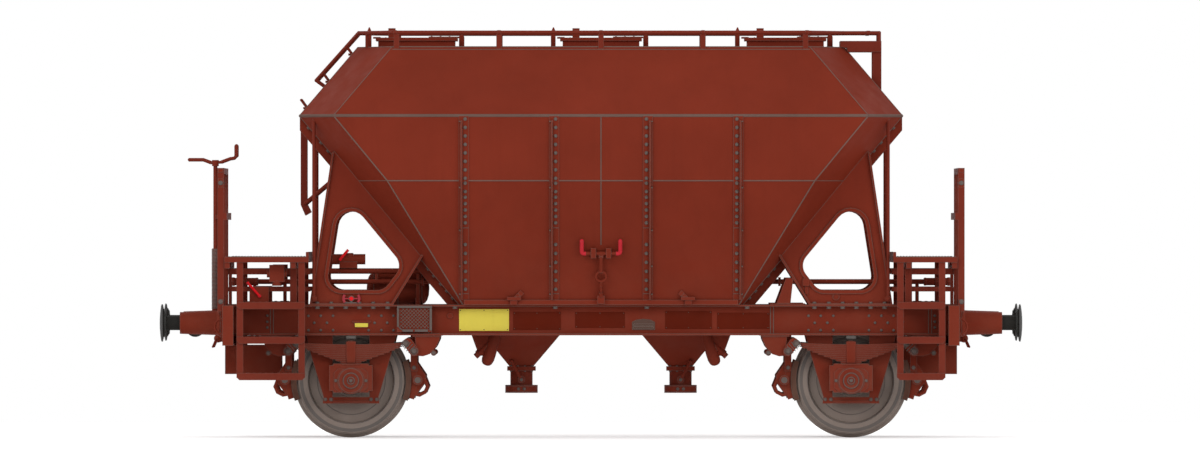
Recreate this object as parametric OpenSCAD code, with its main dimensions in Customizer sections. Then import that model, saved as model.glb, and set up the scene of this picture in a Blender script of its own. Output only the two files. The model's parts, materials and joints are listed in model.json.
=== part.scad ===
// Two-axle covered hopper wagon for powder, with a hand brake at one end
// Units are millimetres, X runs along the track, Z up from the bottom of the wheel flanges

/* [Running gear] */
// Distance between the two axles
wheelbase = 5000; // [3500:10:7000]
// Radius over the wheel flange
flange_radius = 572; // [400:1:620]
// Distance between the backs of the two wheels on an axle
back_to_back = 1360; // [1350:1:1370]
// Width of the wheel rim
rim_width = 135; // [120:1:145]
// Radius of the axle journal
journal_radius = 65; // [50:1:80]

/* [Frame] */
// Height of the top of the sole bars
frame_top = 1330; // [1100:5:1500]
// Depth of the sole bars
sole_depth = 305; // [200:5:350]
// From the middle of the hopper to the headstock at the plain end
plain_reach = 3582; // [3300:1:4500]
// Extra length of the frame at the hand brake end
brake_extra = 200; // [0:5:600]
// Height of the buffers
buffer_height = 1148; // [940:1:1160]
// Half the distance between the two buffers
buffer_half = 875; // [850:1:900]

/* [Hopper] */
// Height of the waist where the roof begins
waist_z = 3215; // [2600:5:3400]
// Height of the bend in the side sheets
bend_z = 2570; // [1800:5:3000]
// Height of the roof
roof_z = 3910; // [3300:5:4200]
// Half the length at the waist
waist_half_length = 3015; // [2400:5:3600]
// Half the width at the waist
waist_half_width = 1500; // [1300:5:1600]
// Half the length at the bottom
foot_half_length = 1420; // [800:5:2000]
// Half the width at the bottom
foot_half_width = 1034; // [900:2:1100]
// Half the length of the roof
roof_half_length = 2440; // [1800:5:3000]
// Half the width of the roof
roof_half_width = 1000; // [700:5:1300]
// Length of the cut at each corner, along the wagon
corner_x = 350; // [100:5:600]
// Length of the cut at each corner, across the wagon
corner_y = 600; // [100:5:800]
// Thickness of the sheets
sheet = 8; // [4:1:16]

/* [Outlets] */
// From the middle to each outlet
outlet_x = 799; // [500:1:1200]
// Height of the foot of the funnels
funnel_foot = 708; // [500:1:900]
// Half the opening at the foot of a funnel
funnel_half = 120; // [60:1:200]
// Radius of the socket in the outlet coupling
outlet_socket = 125; // [110:1:140]

/* [Hatches] */
// Distance between hatch centres
hatch_pitch = 1850; // [1000:10:2400]
// Half the length and width of a hatch lid
hatch_half = 410; // [250:5:500]
// Distance from the hatch centre to its hinge
hinge_x = 450; // [420:5:560]
// Height of the hinge
hinge_z = 4015; // [3950:5:4100]

/* [Hidden] */
$fn = 48;
shift_x = brake_extra / 2;
brake_reach = plain_reach + brake_extra;
axle_x = wheelbase / 2;
axle_z = flange_radius;
sole_foot = frame_top - sole_depth;
bar_in = 945;
bar_out = 1045;
wheel_in = back_to_back / 2;
wheel_out = wheel_in + rim_width;
roof_foot = waist_z + 10;
end_slope = (waist_half_length - foot_half_length) / (waist_z - frame_top);
side_slope = (waist_half_width - foot_half_width) / (bend_z - frame_top);
foot_corner = 40;
foot_corner_y = foot_corner * corner_y / corner_x;
corner_nz = (corner_y * (waist_half_length - foot_half_length)
    + corner_x * (waist_half_width - corner_y - foot_half_width + foot_corner_y))
    / (frame_top - waist_z);
roof_rise = roof_z - roof_foot;
roof_side_slope = (waist_half_width - roof_half_width) / roof_rise;
roof_end_slope = (waist_half_length - roof_half_length) / roof_rise;
roof_corner_nz = (corner_y * (waist_half_length - roof_half_length)
    + corner_x * (waist_half_width - roof_half_width)) / roof_rise;
ridge_z = 1512;
seat_gap = 0.3;
slant_gap = seat_gap * sqrt(1 + side_slope * side_slope);
guard_thick = 16;
plate_foot_out = axle_x + 415;
plate_foot_in = axle_x - 420;
plate_top_z = waist_z - 365;
plate_top_x = waist_half_length - 325;
platform_in = plate_foot_out + 5;
end_bearer_x = platform_in + 245;
post_in = 14;
post_out = 50;
coaming_x = 375;
coaming_y = 385;
rail_top = roof_z + 145;
deck_top = roof_z + 63.5;

function plate_out(z) = plate_foot_out
    + (plate_top_x - plate_foot_out) * (z - frame_top) / (plate_top_z - frame_top);
function roof_end_x(z) = waist_half_length - (z - roof_foot) * roof_end_slope;

function plane(n, p) = let (u = n / norm(n)) [u, u * p];
function inset(p, t) = [p[0], p[1] - t];
function meet(p, q, r) = (p[1] * cross(q[0], r[0]) + q[1] * cross(r[0], p[0])
    + r[1] * cross(p[0], q[0])) / (p[0] * cross(q[0], r[0]));
function flip_x(p) = [[-p[0][0], p[0][1], p[0][2]], p[1]];
function flip_y(p) = [[p[0][0], -p[0][1], p[0][2]], p[1]];

waist_corner = [waist_half_length, waist_half_width - corner_y, waist_z];
end_face = plane([1, 0, -end_slope], [waist_half_length, 0, waist_z]);
side_face = plane([0, 1, 0], [0, waist_half_width, 0]);
slant_face = plane([0, 1, -side_slope], [0, waist_half_width, bend_z]);
corner_face = plane([corner_y, corner_x, corner_nz], waist_corner);
roof_side_face = plane([0, 1, roof_side_slope], [0, waist_half_width, roof_foot]);
roof_end_face = plane([1, 0, roof_end_slope], [waist_half_length, 0, roof_foot]);
roof_corner_face = plane([corner_y, corner_x, roof_corner_nz],
    [waist_half_length, waist_half_width - corner_y, roof_foot]);
roof_face = plane([0, 0, 1], [0, 0, roof_z]);
waist_cut = plane([0, 0, 1], [0, 0, waist_z]);
foot_cut = plane([0, 0, -1], [0, 0, frame_top]);
roof_foot_cut = plane([0, 0, -1], [0, 0, roof_foot]);
funnel_cut = plane([0, 0, -1], [0, 0, funnel_foot]);
frame_cut = plane([0, 0, 1], [0, 0, frame_top]);
funnel_end_face = plane([1, 0, -(foot_half_length - outlet_x - funnel_half) / (frame_top - funnel_foot)],
    [foot_half_length, 0, frame_top]);
funnel_side_face = plane([0, 1, -(bar_in - 1 - funnel_half) / (frame_top - funnel_foot)],
    [0, bar_in - 1, frame_top]);
saddle_face = plane([-1, 0, -(outlet_x - funnel_half) / (ridge_z - funnel_foot)], [0, 0, ridge_z]);

module sheet_of(face, edges, folded) {
    n = len(edges);
    deep = inset(face, sheet);
    turned = [for (i = [0:n - 1]) folded[i] ? inset(edges[i], sheet) : edges[i]];
    outer = [for (i = [0:n - 1]) meet(face, edges[i], edges[(i + 1) % n])];
    inner = [for (i = [0:n - 1]) meet(deep, turned[i], turned[(i + 1) % n])];
    polyhedron(
        points = concat(outer, inner),
        faces = concat(
            [[for (i = [n - 1:-1:0]) i]],
            [[for (i = [0:n - 1]) n + i]],
            [for (i = [0:n - 1]) [i, (i + 1) % n, n + (i + 1) % n, n + i]]
        )
    );
}

module within(p, out = seat_gap) {
    translate(p[0] * (p[1] + out))
        rotate([0, acos(p[0][2]), atan2(p[0][1], p[0][0])])
            translate([-5000, -5000, -8000]) cube([10000, 10000, 8000]);
}

module hopper_core() {
    intersection() {
        within(end_face);
        within(corner_face);
        within(slant_face);
    }
}

module roof_core() {
    intersection() {
        within(roof_face);
        within(roof_side_face);
        within(roof_end_face);
        within(roof_corner_face);
    }
}

module box(x0, x1, y0, y1, z0, z1) {
    translate([x0, y0, z0]) cube([x1 - x0, y1 - y0, z1 - z0]);
}

module along_x(x0, x1) {
    translate([x0, 0, 0]) rotate([90, 0, 90]) linear_extrude(height = x1 - x0) children();
}

module along_y(y0, y1) {
    translate([0, y1, 0]) rotate([90, 0, 0]) linear_extrude(height = y1 - y0) children();
}

module rod(a, b, r) {
    d = b - a;
    translate(a) rotate([0, acos(d[2] / norm(d)), atan2(d[1], d[0])]) cylinder(r = r, h = norm(d));
}

module rail(points, r) {
    for (i = [0:len(points) - 2]) rod(points[i], points[i + 1], r);
    for (p = points) translate(p) sphere(r = r + 0.8);
}

module cross_pin(x, z, r, y0, y1) {
    translate([x, y0, z]) rotate([-90, 0, 0]) cylinder(r = r, h = y1 - y0);
}

module both_sides() {
    children();
    mirror([0, 1, 0]) children();
}

module both_halves() {
    children();
    mirror([1, 0, 0]) children();
}

module both_ends() {
    for (e = [0, 1]) {
        $reach = e == 1 ? brake_reach : plain_reach;
        $brake = e == 1;
        mirror([e, 0, 0]) children();
    }
}

module each_corner() {
    both_ends() both_sides() children();
}

module whole() {
    translate([shift_x, 0, 0]) children();
}

module sole_bars() {
    color([0.47, 0.17, 0.11]) whole() both_sides() along_x(12 - brake_reach, plain_reach - 12) polygon([
        [bar_in, sole_foot],
        [bar_out, sole_foot],
        [bar_out, sole_foot + 16],
        [bar_in + 12, sole_foot + 16],
        [bar_in + 12, frame_top - 16],
        [bar_out, frame_top - 16],
        [bar_out, frame_top],
        [bar_in, frame_top]
    ]);
}

module headstocks() {
    color([0.47, 0.17, 0.11]) whole() both_ends() difference() {
        union() {
            along_y(-1250, 1250) translate([$reach, 0]) polygon([
                [-110, 923],
                [0, 923],
                [0, 1323],
                [-110, 1323],
                [-110, 1311],
                [-12, 1311],
                [-12, 935],
                [-110, 935]
            ]);
            both_sides() box($reach - 110, $reach, 1238, 1250, 923, 1323);
        }
        both_sides() box($reach - 111, $reach - 12, bar_in - 0.4, bar_out + 0.4, 1000, 1400);
        box($reach - 60, $reach + 1, -32, 32, buffer_height - 34, buffer_height + 34);
    }
}

module channel_beam(x, z0, z1, w, half = bar_in) {
    along_y(-half, half) polygon([
        [x - w / 2, z0],
        [x + w / 2, z0],
        [x + w / 2, z0 + 12],
        [x - w / 2 + 12, z0 + 12],
        [x - w / 2 + 12, z1 - 12],
        [x + w / 2, z1 - 12],
        [x + w / 2, z1],
        [x - w / 2, z1]
    ]);
}

module cross_bearers() {
    color([0.45, 0.16, 0.10]) whole() {
        channel_beam(0, 1080, frame_top, 100);
        channel_beam(250 - axle_x, 1200, frame_top, 60, bar_in - guard_thick);
        both_halves() channel_beam(1835, 1070, frame_top, 100);
        both_ends() {
            channel_beam(end_bearer_x, 1070, frame_top, 100);
            both_sides() box(end_bearer_x + 50, $reach - 12, 190, 204, 1075, 1235);
        }
    }
}

module axle_guards() {
    color([0.42, 0.15, 0.10]) whole() both_halves() both_sides() along_y(bar_in - guard_thick, bar_in)
        translate([axle_x, 0]) difference() {
            polygon([
                [-450, 1290],
                [-450, 1025],
                [-405, 843],
                [-275, 408],
                [-285, 342],
                [285, 342],
                [275, 408],
                [405, 843],
                [450, 1025],
                [450, 1290]
            ]);
            translate([-183, 408]) square([366, 620]);
        }
}

module axle_boxes() {
    color([0.40, 0.15, 0.10]) whole() both_halves() both_sides() difference() {
        union() {
            box(axle_x - 177, axle_x + 177, 880, 1090, 452, 743);
            box(axle_x - 216, axle_x + 216, 880, 923, 470, 725);
            box(axle_x - 216, axle_x + 216, 951, 1090, 470, 725);
            cross_pin(axle_x, axle_z, 122, 1090, 1108);
            cross_pin(axle_x, axle_z, 80, 1100, 1118);
            cross_pin(axle_x, axle_z, 38, 1110, 1127);
        }
        cross_pin(axle_x, axle_z, journal_radius + 1, 870, 1082);
    }
}

leaf_lengths = [520, 500, 490, 440, 385, 330, 270, 210, 155, 105];

module leaf_springs() {
    leaf = (950 - 743) / len(leaf_lengths);
    color([0.30, 0.14, 0.11]) whole() both_halves() both_sides() translate([axle_x, 0, 0]) difference() {
        union() {
            for (i = [0:len(leaf_lengths) - 1])
                box(-leaf_lengths[i], leaf_lengths[i], 960, 1040, 950 - (i + 1) * leaf, 950 - i * leaf);
            box(-50, 50, 949, 1051, 743, 965);
            both_halves() cross_pin(545, 941, 29, 960, 1040);
        }
        both_halves() cross_pin(545, 941, 15.5, 950, 1050);
    }
}

module spring_links() {
    color([0.34, 0.14, 0.10]) whole() both_halves() both_sides() translate([axle_x, 0, 0]) both_halves() {
        for (y = [942, 1043]) along_y(y, y + 15) {
            translate([570, 950]) circle(r = 48);
            translate([630, 866]) circle(r = 48);
            polygon([[531, 922], [591, 838], [669, 894], [609, 978]]);
        }
        cross_pin(545, 941, 15, 942, 1058);
        cross_pin(630, 866, 15, 942, 1058);
    }
}

module spring_brackets() {
    color([0.42, 0.15, 0.10]) whole() both_halves() both_sides() translate([axle_x, 0, 0]) both_halves()
        difference() {
            union() {
                along_y(975, 1025) {
                    polygon([
                        [630, 822],
                        [720, 815],
                        [790, 838],
                        [850, 905],
                        [885, 980],
                        [890, sole_foot],
                        [640, sole_foot],
                        [650, 905]
                    ]);
                    translate([630, 866]) circle(r = 44);
                }
                box(615, 905, 965, 1035, sole_foot - 14, sole_foot);
                cross_pin(827, 848, 28, 990, 1032);
            }
            cross_pin(630, 866, 15.5, 970, 1030);
        }
}

module wheel_pair(x) {
    color([0.52, 0.47, 0.44]) whole() translate([x, 0, axle_z]) both_sides() rotate([-90, 0, 0])
        rotate_extrude($fn = 96) polygon([
            [96, wheel_in - 12],
            [150, wheel_in - 12],
            [162, wheel_in + 40],
            [300, wheel_in + 55],
            [422, wheel_in + 36],
            [440, wheel_in],
            [flange_radius - 14, wheel_in],
            [flange_radius - 4, wheel_in + 5],
            [flange_radius, wheel_in + 15],
            [flange_radius - 4, wheel_in + 26],
            [flange_radius - 16, wheel_in + 35],
            [flange_radius - 28, wheel_in + 42],
            [flange_radius - 34, wheel_in + 55],
            [flange_radius - 39, wheel_out - 15],
            [flange_radius - 50, wheel_out],
            [430, wheel_out],
            [418, wheel_out - 48],
            [342, wheel_out - 42],
            [338, wheel_out - 36],
            [300, wheel_out - 36],
            [168, wheel_out - 46],
            [150, wheel_out + 20],
            [96, wheel_out + 20]
        ]);
}

module axle_at(x) {
    color([0.40, 0.36, 0.33]) whole() translate([x, 0, axle_z]) rotate([-90, 0, 0])
        rotate_extrude() polygon([
            [0, -1078],
            [journal_radius, -1078],
            [journal_radius, -862],
            [84, -852],
            [95.7, -838],
            [95.7, -664],
            [84, -640],
            [80, -500],
            [80, 500],
            [84, 640],
            [95.7, 664],
            [95.7, 838],
            [84, 852],
            [journal_radius, 862],
            [journal_radius, 1078],
            [0, 1078]
        ]);
}

module brake_end_wheels() {
    wheel_pair(-axle_x);
}

module brake_end_axle() {
    axle_at(-axle_x);
}

module plain_end_wheels() {
    wheel_pair(axle_x);
}

module plain_end_axle() {
    axle_at(axle_x);
}

module arc_block(r0, r1, spread, y0, y1) {
    rotate([-90, 0, 0]) rotate([0, 0, -spread]) rotate_extrude(angle = 2 * spread)
        polygon([[r0, y0], [r1, y0], [r1, y1], [r0, y1]]);
}

module by_each_wheel_edge() {
    whole() both_halves() translate([axle_x, 0, 0]) both_halves() children();
}

module brake_shoes() {
    color([0.25, 0.22, 0.20]) by_each_wheel_edge() both_sides() translate([0, 0, axle_z])
        arc_block(flange_radius - 28, flange_radius + 28, 20, wheel_in + 58, wheel_out - 8);
}

module brake_beams() {
    color([0.38, 0.15, 0.10]) by_each_wheel_edge() {
        cross_pin(665, 575, 46, -850, 850);
        both_sides() {
            translate([0, 0, axle_z]) arc_block(flange_radius + 28.3, flange_radius + 84, 17, 755, 787.5);
            along_y(756, 786) polygon([
                [603, 760],
                [645, 772],
                [748, 620],
                [738, 545],
                [650, 425],
                [610, 415]
            ]);
            rail([[606, 771, 440], [684, 771, 426], [738, 771, 454], [763, 771, 510], [734, 771, 585]], 17);
        }
    }
}

module brake_hangers() {
    color([0.40, 0.15, 0.10]) by_each_wheel_edge() both_sides() {
        box(594, 662, 788, 804, 664, 1065);
        box(594, 662, 804, bar_in, 1035, 1065);
        cross_pin(628, 700, 20, 788, 818);
    }
}

module buffer_at() {
    translate([$reach, buffer_half, buffer_height]) children();
}

module buffer_sleeves() {
    color([0.16, 0.16, 0.15]) whole() each_corner() buffer_at() difference() {
        union() {
            box(0, 22, -165, 165, -140, 140);
            rotate([0, 90, 0]) rotate_extrude() polygon([[0, 20], [138, 20], [138, 34], [122, 60], [109, 431], [0, 431]]);
        }
        translate([40, 0, 0]) rotate([0, 90, 0]) cylinder(r = 73, h = 500);
    }
}

module buffer_heads() {
    color([0.35, 0.35, 0.34]) whole() each_corner() buffer_at() rotate([0, 90, 0]) rotate_extrude($fn = 72) polygon([
        [0, 80],
        [72.5, 80],
        [72.5, 566],
        [112, 572],
        [130, 590],
        [182, 600],
        [188, 606],
        [188, 614],
        [170, 620],
        [120, 627],
        [60, 632],
        [0, 633]
    ]);
}

module draw_hooks() {
    color([0.20, 0.19, 0.18]) whole() both_ends() translate([$reach, 0, buffer_height]) {
        along_y(-30, 30) difference() {
            union() {
                translate([-340, -30]) square([600, 60]);
                translate([295, -50]) circle(r = 95);
            }
            translate([300, -40]) circle(r = 44);
            polygon([[300, -40], [330, 60], [420, 60], [420, -10]]);
        }
        rotate([0, 90, 0]) translate([0, 0, -300]) cylinder(r = 85, h = 288);
    }
}

module headstock_fittings() {
    color([0.30, 0.20, 0.17]) whole() both_ends() translate([$reach, 0, 0]) both_sides() {
        translate([0, 330, 990]) rotate([0, 90, 0]) cylinder(r = 34, h = 30);
        translate([0, 330, 990]) rotate([0, 90, 0]) cylinder(r = 24, h = 95);
        translate([60, 330, 990]) sphere(r = 42);
        rail([[62, 330, 1000], [84, 384, 970], [112, 388, 906]], 10);
        translate([0, 1155, 1113]) rotate([90, 0, 0]) rotate([0, 0, -90]) rotate_extrude(angle = 180)
            translate([76, 0]) circle(r = 9);
        for (z = [1037, 1189]) translate([0, 1155, z]) rotate([0, 90, 0]) cylinder(r = 18, h = 12);
    }
}

module platform_floors() {
    color([0.44, 0.17, 0.11]) whole() both_ends() {
        x0 = platform_in;
        x1 = $reach - 20;
        columns = $brake ? 6 : 4;
        step_x = (x1 - x0 - 60) / columns;
        difference() {
            box(x0, x1, -1270, 1270, 1754, 1808);
            box(x0 + 30, x1 - 30, -1240, 1240, 1753, 1776);
            for (i = [0:columns - 1], j = [-10:10])
                box(x0 + 37 + i * step_x, x0 + 23 + (i + 1) * step_x, j * 116 - 52, j * 116 + 52, 1700, 1900);
        }
        box(x0, x0 + 28, -1270, 1270, 1808, 1858);
    }
}

module platform_frames() {
    color([0.45, 0.16, 0.10]) whole() both_ends() {
        both_sides() {
            box(platform_in + 120, platform_in + 190, 985, 1030, frame_top, 1754);
            box($reach - 55, $reach - 22, 985, 1030, frame_top, 1754);
            box(platform_in - 15, $reach - 22, 985, 1015, 1633, 1693);
            box(platform_in - 15, $reach - 22, 985, 1015, 1463, 1508);
        }
        box(platform_in + 130, platform_in + 180, -1255, 1255, 1694, 1754);
        box($reach - 75, $reach - 22, -1255, 1255, 1694, 1754);
    }
}

module end_rails() {
    color([0.47, 0.17, 0.11]) whole() both_ends() {
        both_sides() for (y = [420, 1200]) {
            box($reach - post_in, $reach + post_out, y - 30, y + 30, 1323, 2698);
            box($reach, $reach + post_out, y - 30, y + 30, 1270, 1324);
        }
        box($reach - post_in, $reach + post_out, -1230, 1230, 2638, 2698);
        box($reach - post_in - 30, $reach - post_in, -1230, 1230, 2180, 2250);
    }
}

module boarding_steps() {
    color([0.46, 0.17, 0.11]) whole() each_corner() {
        inner = platform_in + 37;
        outer = $reach - 142;
        for (x = [inner, outer - 66]) {
            box(x, x + 66, 1242, 1256, 600, 1754);
            box(x + 10, x + 56, bar_out, 1245, 1040, 1100);
        }
        for (z = [578, 942, 1288]) {
            box(inner, outer, 1062, 1270, z + 60, z + 70);
            difference() {
                box(inner, outer, 1256, 1270, z, z + 70);
                for (x = [inner, outer]) translate([x, 0, z]) rotate([0, 45, 0]) box(-20, 20, 1250, 1280, -20, 20);
            }
            box(inner, outer, 1062, 1074, z + 30, z + 66);
        }
    }
}

module end_boxes() {
    color([0.42, 0.15, 0.10]) whole() both_ends() difference() {
        box($reach - 575, $reach - 12, -450, 450, 633, 923);
        box($reach - 565, $reach - 22, -440, 440, 643, 913);
    }
}

module handbrake_spindle() {
    color([0.45, 0.17, 0.11]) whole() mirror([1, 0, 0]) translate([brake_reach + 85, -420, 0]) {
        translate([0, 0, 1260]) cylinder(r = 34.5, h = 633);
        translate([0, 0, 1893]) cylinder(r = 21, h = 825);
        box(-85, 45, -50, 50, 1225, 1268);
        for (z = [1480, 2190]) box(post_out - 85, 0, -28, 28, z, z + 40);
    }
}

module handbrake_crank() {
    color([0.32, 0.20, 0.16]) whole() mirror([1, 0, 0]) translate([brake_reach + 85, -420, 0]) {
        translate([0, 0, 2718]) cylinder(r = 34, h = 62);
        rail([[262, 0, 2782], [120, 0, 2782], [40, 0, 2752], [-60, 0, 2758], [-150, 0, 2792]], 15);
        rail([[-150, 0, 2792], [-190, 0, 2798], [-212, 0, 2822]], 15);
        rail([[-212, 0, 2822], [-212, 0, 2920]], 19);
    }
}

module side_sheets_upper() {
    color([0.47, 0.17, 0.11]) whole() both_sides() sheet_of(
        side_face,
        [waist_cut, flip_x(corner_face), slant_face, corner_face],
        [false, true, true, true]
    );
}

module side_sheets_lower() {
    color([0.47, 0.17, 0.11]) whole() both_sides() sheet_of(
        slant_face,
        [side_face, flip_x(corner_face), foot_cut, corner_face],
        [true, true, false, true]
    );
}

module end_sheets() {
    color([0.46, 0.17, 0.11]) whole() both_halves() sheet_of(
        end_face,
        [waist_cut, flip_y(corner_face), foot_cut, corner_face],
        [false, true, false, true]
    );
}

module corner_sheets() {
    color([0.46, 0.17, 0.11]) whole() both_halves() both_sides() sheet_of(
        corner_face,
        [waist_cut, end_face, foot_cut, slant_face, side_face],
        [false, true, false, true, true]
    );
}

module waist_outline(grow) {
    polygon([for (s = [[1, 1, 0], [1, 1, 1], [-1, 1, 1], [-1, 1, 0], [-1, -1, 0], [-1, -1, 1], [1, -1, 1], [1, -1, 0]])
        [
            s[0] * (waist_half_length + grow - s[2] * corner_x),
            s[1] * (waist_half_width + grow - (1 - s[2]) * corner_y)
        ]]);
}

module waist_flange() {
    color([0.45, 0.16, 0.10]) whole() translate([0, 0, waist_z]) linear_extrude(height = roof_foot - waist_z)
        difference() {
            waist_outline(9);
            waist_outline(-45);
        }
}

module roof_side_sheets() {
    color([0.48, 0.18, 0.11]) whole() both_sides() sheet_of(
        roof_side_face,
        [roof_face, flip_x(roof_corner_face), roof_foot_cut, roof_corner_face],
        [true, true, false, true]
    );
}

module roof_end_sheets() {
    color([0.47, 0.17, 0.11]) whole() both_halves() sheet_of(
        roof_end_face,
        [roof_face, flip_y(roof_corner_face), roof_foot_cut, roof_corner_face],
        [true, true, false, true]
    );
}

module roof_corner_sheets() {
    color([0.47, 0.17, 0.11]) whole() both_halves() both_sides() sheet_of(
        roof_corner_face,
        [roof_face, roof_end_face, roof_foot_cut, roof_side_face],
        [true, true, false, true]
    );
}

hatch_row = [for (i = [-1:1]) i * hatch_pitch];

module roof_top() {
    strip_side = plane([0, 1, 0], [0, coaming_y - seat_gap, 0]);
    color([0.48, 0.18, 0.11]) whole() {
        both_sides() sheet_of(
            roof_face,
            [
                roof_end_face,
                roof_corner_face,
                roof_side_face,
                flip_x(roof_corner_face),
                flip_x(roof_end_face),
                plane([0, -1, 0], [0, coaming_y, 0])
            ],
            [true, true, true, true, true, false]
        );
        both_halves() sheet_of(
            roof_face,
            [
                roof_end_face,
                strip_side,
                plane([-1, 0, 0], [hatch_row[2] + coaming_x, 0, 0]),
                flip_y(strip_side)
            ],
            [true, false, false, false]
        );
        for (i = [0, 1]) sheet_of(
            roof_face,
            [
                plane([1, 0, 0], [hatch_row[i + 1] - coaming_x, 0, 0]),
                strip_side,
                plane([-1, 0, 0], [hatch_row[i] + coaming_x, 0, 0]),
                flip_y(strip_side)
            ],
            [false, false, false, false]
        );
    }
}

module rib_profile(deep, top) {
    across = deep * sqrt(1 + side_slope * side_slope);
    foot = foot_half_width + 50 * side_slope;
    polygon([
        [waist_half_width + seat_gap, top],
        [waist_half_width + seat_gap, bend_z - (slant_gap - seat_gap) / side_slope],
        [foot + slant_gap, frame_top + 50],
        [foot + across, frame_top + 50],
        [waist_half_width + deep, bend_z - (across - deep) / side_slope],
        [waist_half_width + deep, top]
    ]);
}

module side_ribs() {
    color([0.45, 0.16, 0.10]) whole() both_sides() both_halves() for (x = [468, 1370]) {
        along_x(x - 50, x + 50) rib_profile(9, waist_z);
        along_x(x + 16, x + 30) rib_profile(40, waist_z - 47);
    }
}

module end_ribs() {
    deep = 118;
    color([0.44, 0.16, 0.10]) whole() both_halves() for (y = [-780, 0, 780]) along_y(y - 30, y + 30) polygon([
        [foot_half_length, frame_top],
        [foot_half_length + deep, frame_top],
        [waist_half_length, waist_z - deep / end_slope],
        [waist_half_length, waist_z]
    ]);
}

module hopper_sills() {
    color([0.44, 0.16, 0.10]) whole() both_sides() along_x(-1370, 1370) polygon([
        [foot_half_width + slant_gap, frame_top],
        [1074, frame_top],
        [1074, frame_top + 50],
        [foot_half_width + 50 * side_slope + slant_gap, frame_top + 50]
    ]);
}

hole_rounds = [
    [plate_out(1615) - 283, 1615, 138],
    [plate_out(2109) - 303, 2109, 154],
    [plate_foot_in + 80, 1722, 140],
    [plate_foot_in + 160, 1615, 138]
];
hole_rim = 36;

function turn_after(i, grow) = let (
        a = hole_rounds[i],
        b = hole_rounds[(i + 1) % 4],
        d = [b[0] - a[0], b[1] - a[1]]
    ) atan2(d[1], d[0]) - acos((a[2] - b[2]) / norm(d));

module hole_shape(grow) {
    polygon([for (i = [0:3], k = [0:8]) let (
        start = turn_after((i + 3) % 4, grow),
        sweep = (turn_after(i, grow) - start + 720) % 360,
        angle = start + sweep * k / 8,
        r = hole_rounds[i][2] + grow
    ) [hole_rounds[i][0] + r * cos(angle), hole_rounds[i][1] + r * sin(angle)]]);
}

module support_plates() {
    color([0.47, 0.17, 0.11]) whole() both_halves() both_sides() difference() {
        union() {
            along_y(995, 1007) polygon([
                [plate_foot_out, frame_top],
                [plate_foot_in, frame_top],
                [plate_foot_in - 380, 1945],
                [plate_top_x - 130, plate_top_z + 95],
                [plate_top_x, plate_top_z]
            ]);
            along_y(955, bar_out) {
                polygon([
                    [plate_foot_out, frame_top],
                    [plate_top_x, plate_top_z],
                    [plate_top_x - 18, plate_top_z],
                    [plate_foot_out - 20, frame_top]
                ]);
                polygon([
                    [plate_foot_in, frame_top],
                    [plate_foot_in - 315, 1842],
                    [plate_foot_in - 299, 1852],
                    [plate_foot_in + 23, frame_top]
                ]);
                translate([plate_foot_in + 10, frame_top]) square([plate_foot_out - plate_foot_in - 20, 14]);
            }
            along_y(975, 1027) difference() {
                hole_shape(hole_rim);
                hole_shape(0);
            }
        }
        along_y(900, 1100) hole_shape(0);
        hopper_core();
    }
}

module funnel_cross_sheets() {
    color([0.45, 0.16, 0.10]) whole() {
        both_halves() {
            sheet_of(
                funnel_end_face,
                [frame_cut, flip_y(funnel_side_face), funnel_cut, funnel_side_face],
                [false, true, false, true]
            );
            sheet_of(
                saddle_face,
                [frame_cut, funnel_side_face, funnel_cut, flip_y(funnel_side_face)],
                [false, true, false, true]
            );
        }
    }
}

module saddle_ridge() {
    half = (outlet_x - funnel_half) * (ridge_z - frame_top) / (ridge_z - funnel_foot);
    color([0.45, 0.16, 0.10]) whole() along_y(-1022, 1022) polygon([
        [-half, frame_top],
        [-half + 11, frame_top],
        [0, ridge_z - 13],
        [half - 11, frame_top],
        [half, frame_top],
        [0, ridge_z]
    ]);
}

module funnel_side_sheets() {
    color([0.45, 0.16, 0.10]) whole() both_halves() both_sides() sheet_of(
        funnel_side_face,
        [frame_cut, saddle_face, funnel_cut, funnel_end_face],
        [false, true, false, true]
    );
}

module outlet_necks() {
    color([0.44, 0.18, 0.12]) whole() both_halves() translate([outlet_x, 0, 0]) difference() {
        union() {
            box(-143, 143, -143, 143, 665, funnel_foot);
            translate([0, 0, 500]) cylinder(r = 112, h = 180);
            translate([0, 0, 442]) cylinder(r = 163, h = 79);
            cross_pin(0, 575, 36, -140, 140);
        }
        translate([0, 0, 500]) cylinder(r = 100, h = 300);
        translate([0, 0, 400]) cylinder(r = outlet_socket, h = 102);
        cross_pin(0, 575, 17, -300, 300);
    }
}

module valve_levers() {
    color([0.40, 0.15, 0.10]) whole() both_halves() translate([outlet_x, 0, 575]) {
        cylinder(r = 97, h = 10);
        cross_pin(0, 0, 16, -235, 235);
        both_sides() {
            cross_pin(0, 0, 32, 214, 230);
            rod([0, 222, 0], [99, 222, 185], 15);
            translate([99, 222, 185]) sphere(r = 19);
        }
    }
}

module air_inlets() {
    color([0.45, 0.17, 0.11]) whole() both_halves() both_sides() difference() {
        union() {
            rail([[1136, 640, 775], [1010, 640, 1160]], 44);
            rail([[1240, 640, 835], [1150, 640, 850]], 24);
            translate([1240, 640, 835]) rotate([0, -80, 0]) cylinder(r = 34, h = 26, center = true);
        }
        within(funnel_side_face);
    }
}

module hatch_coamings() {
    color([0.46, 0.17, 0.11]) whole() for (i = [-1:1]) translate([i * hatch_pitch, 0, 0]) difference() {
        box(-coaming_x - 10, coaming_x + 10, -coaming_y - 10, coaming_y + 10, roof_z, 3990);
        box(-coaming_x, coaming_x, -coaming_y, coaming_y, roof_z - 10, 4000);
    }
}

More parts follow.
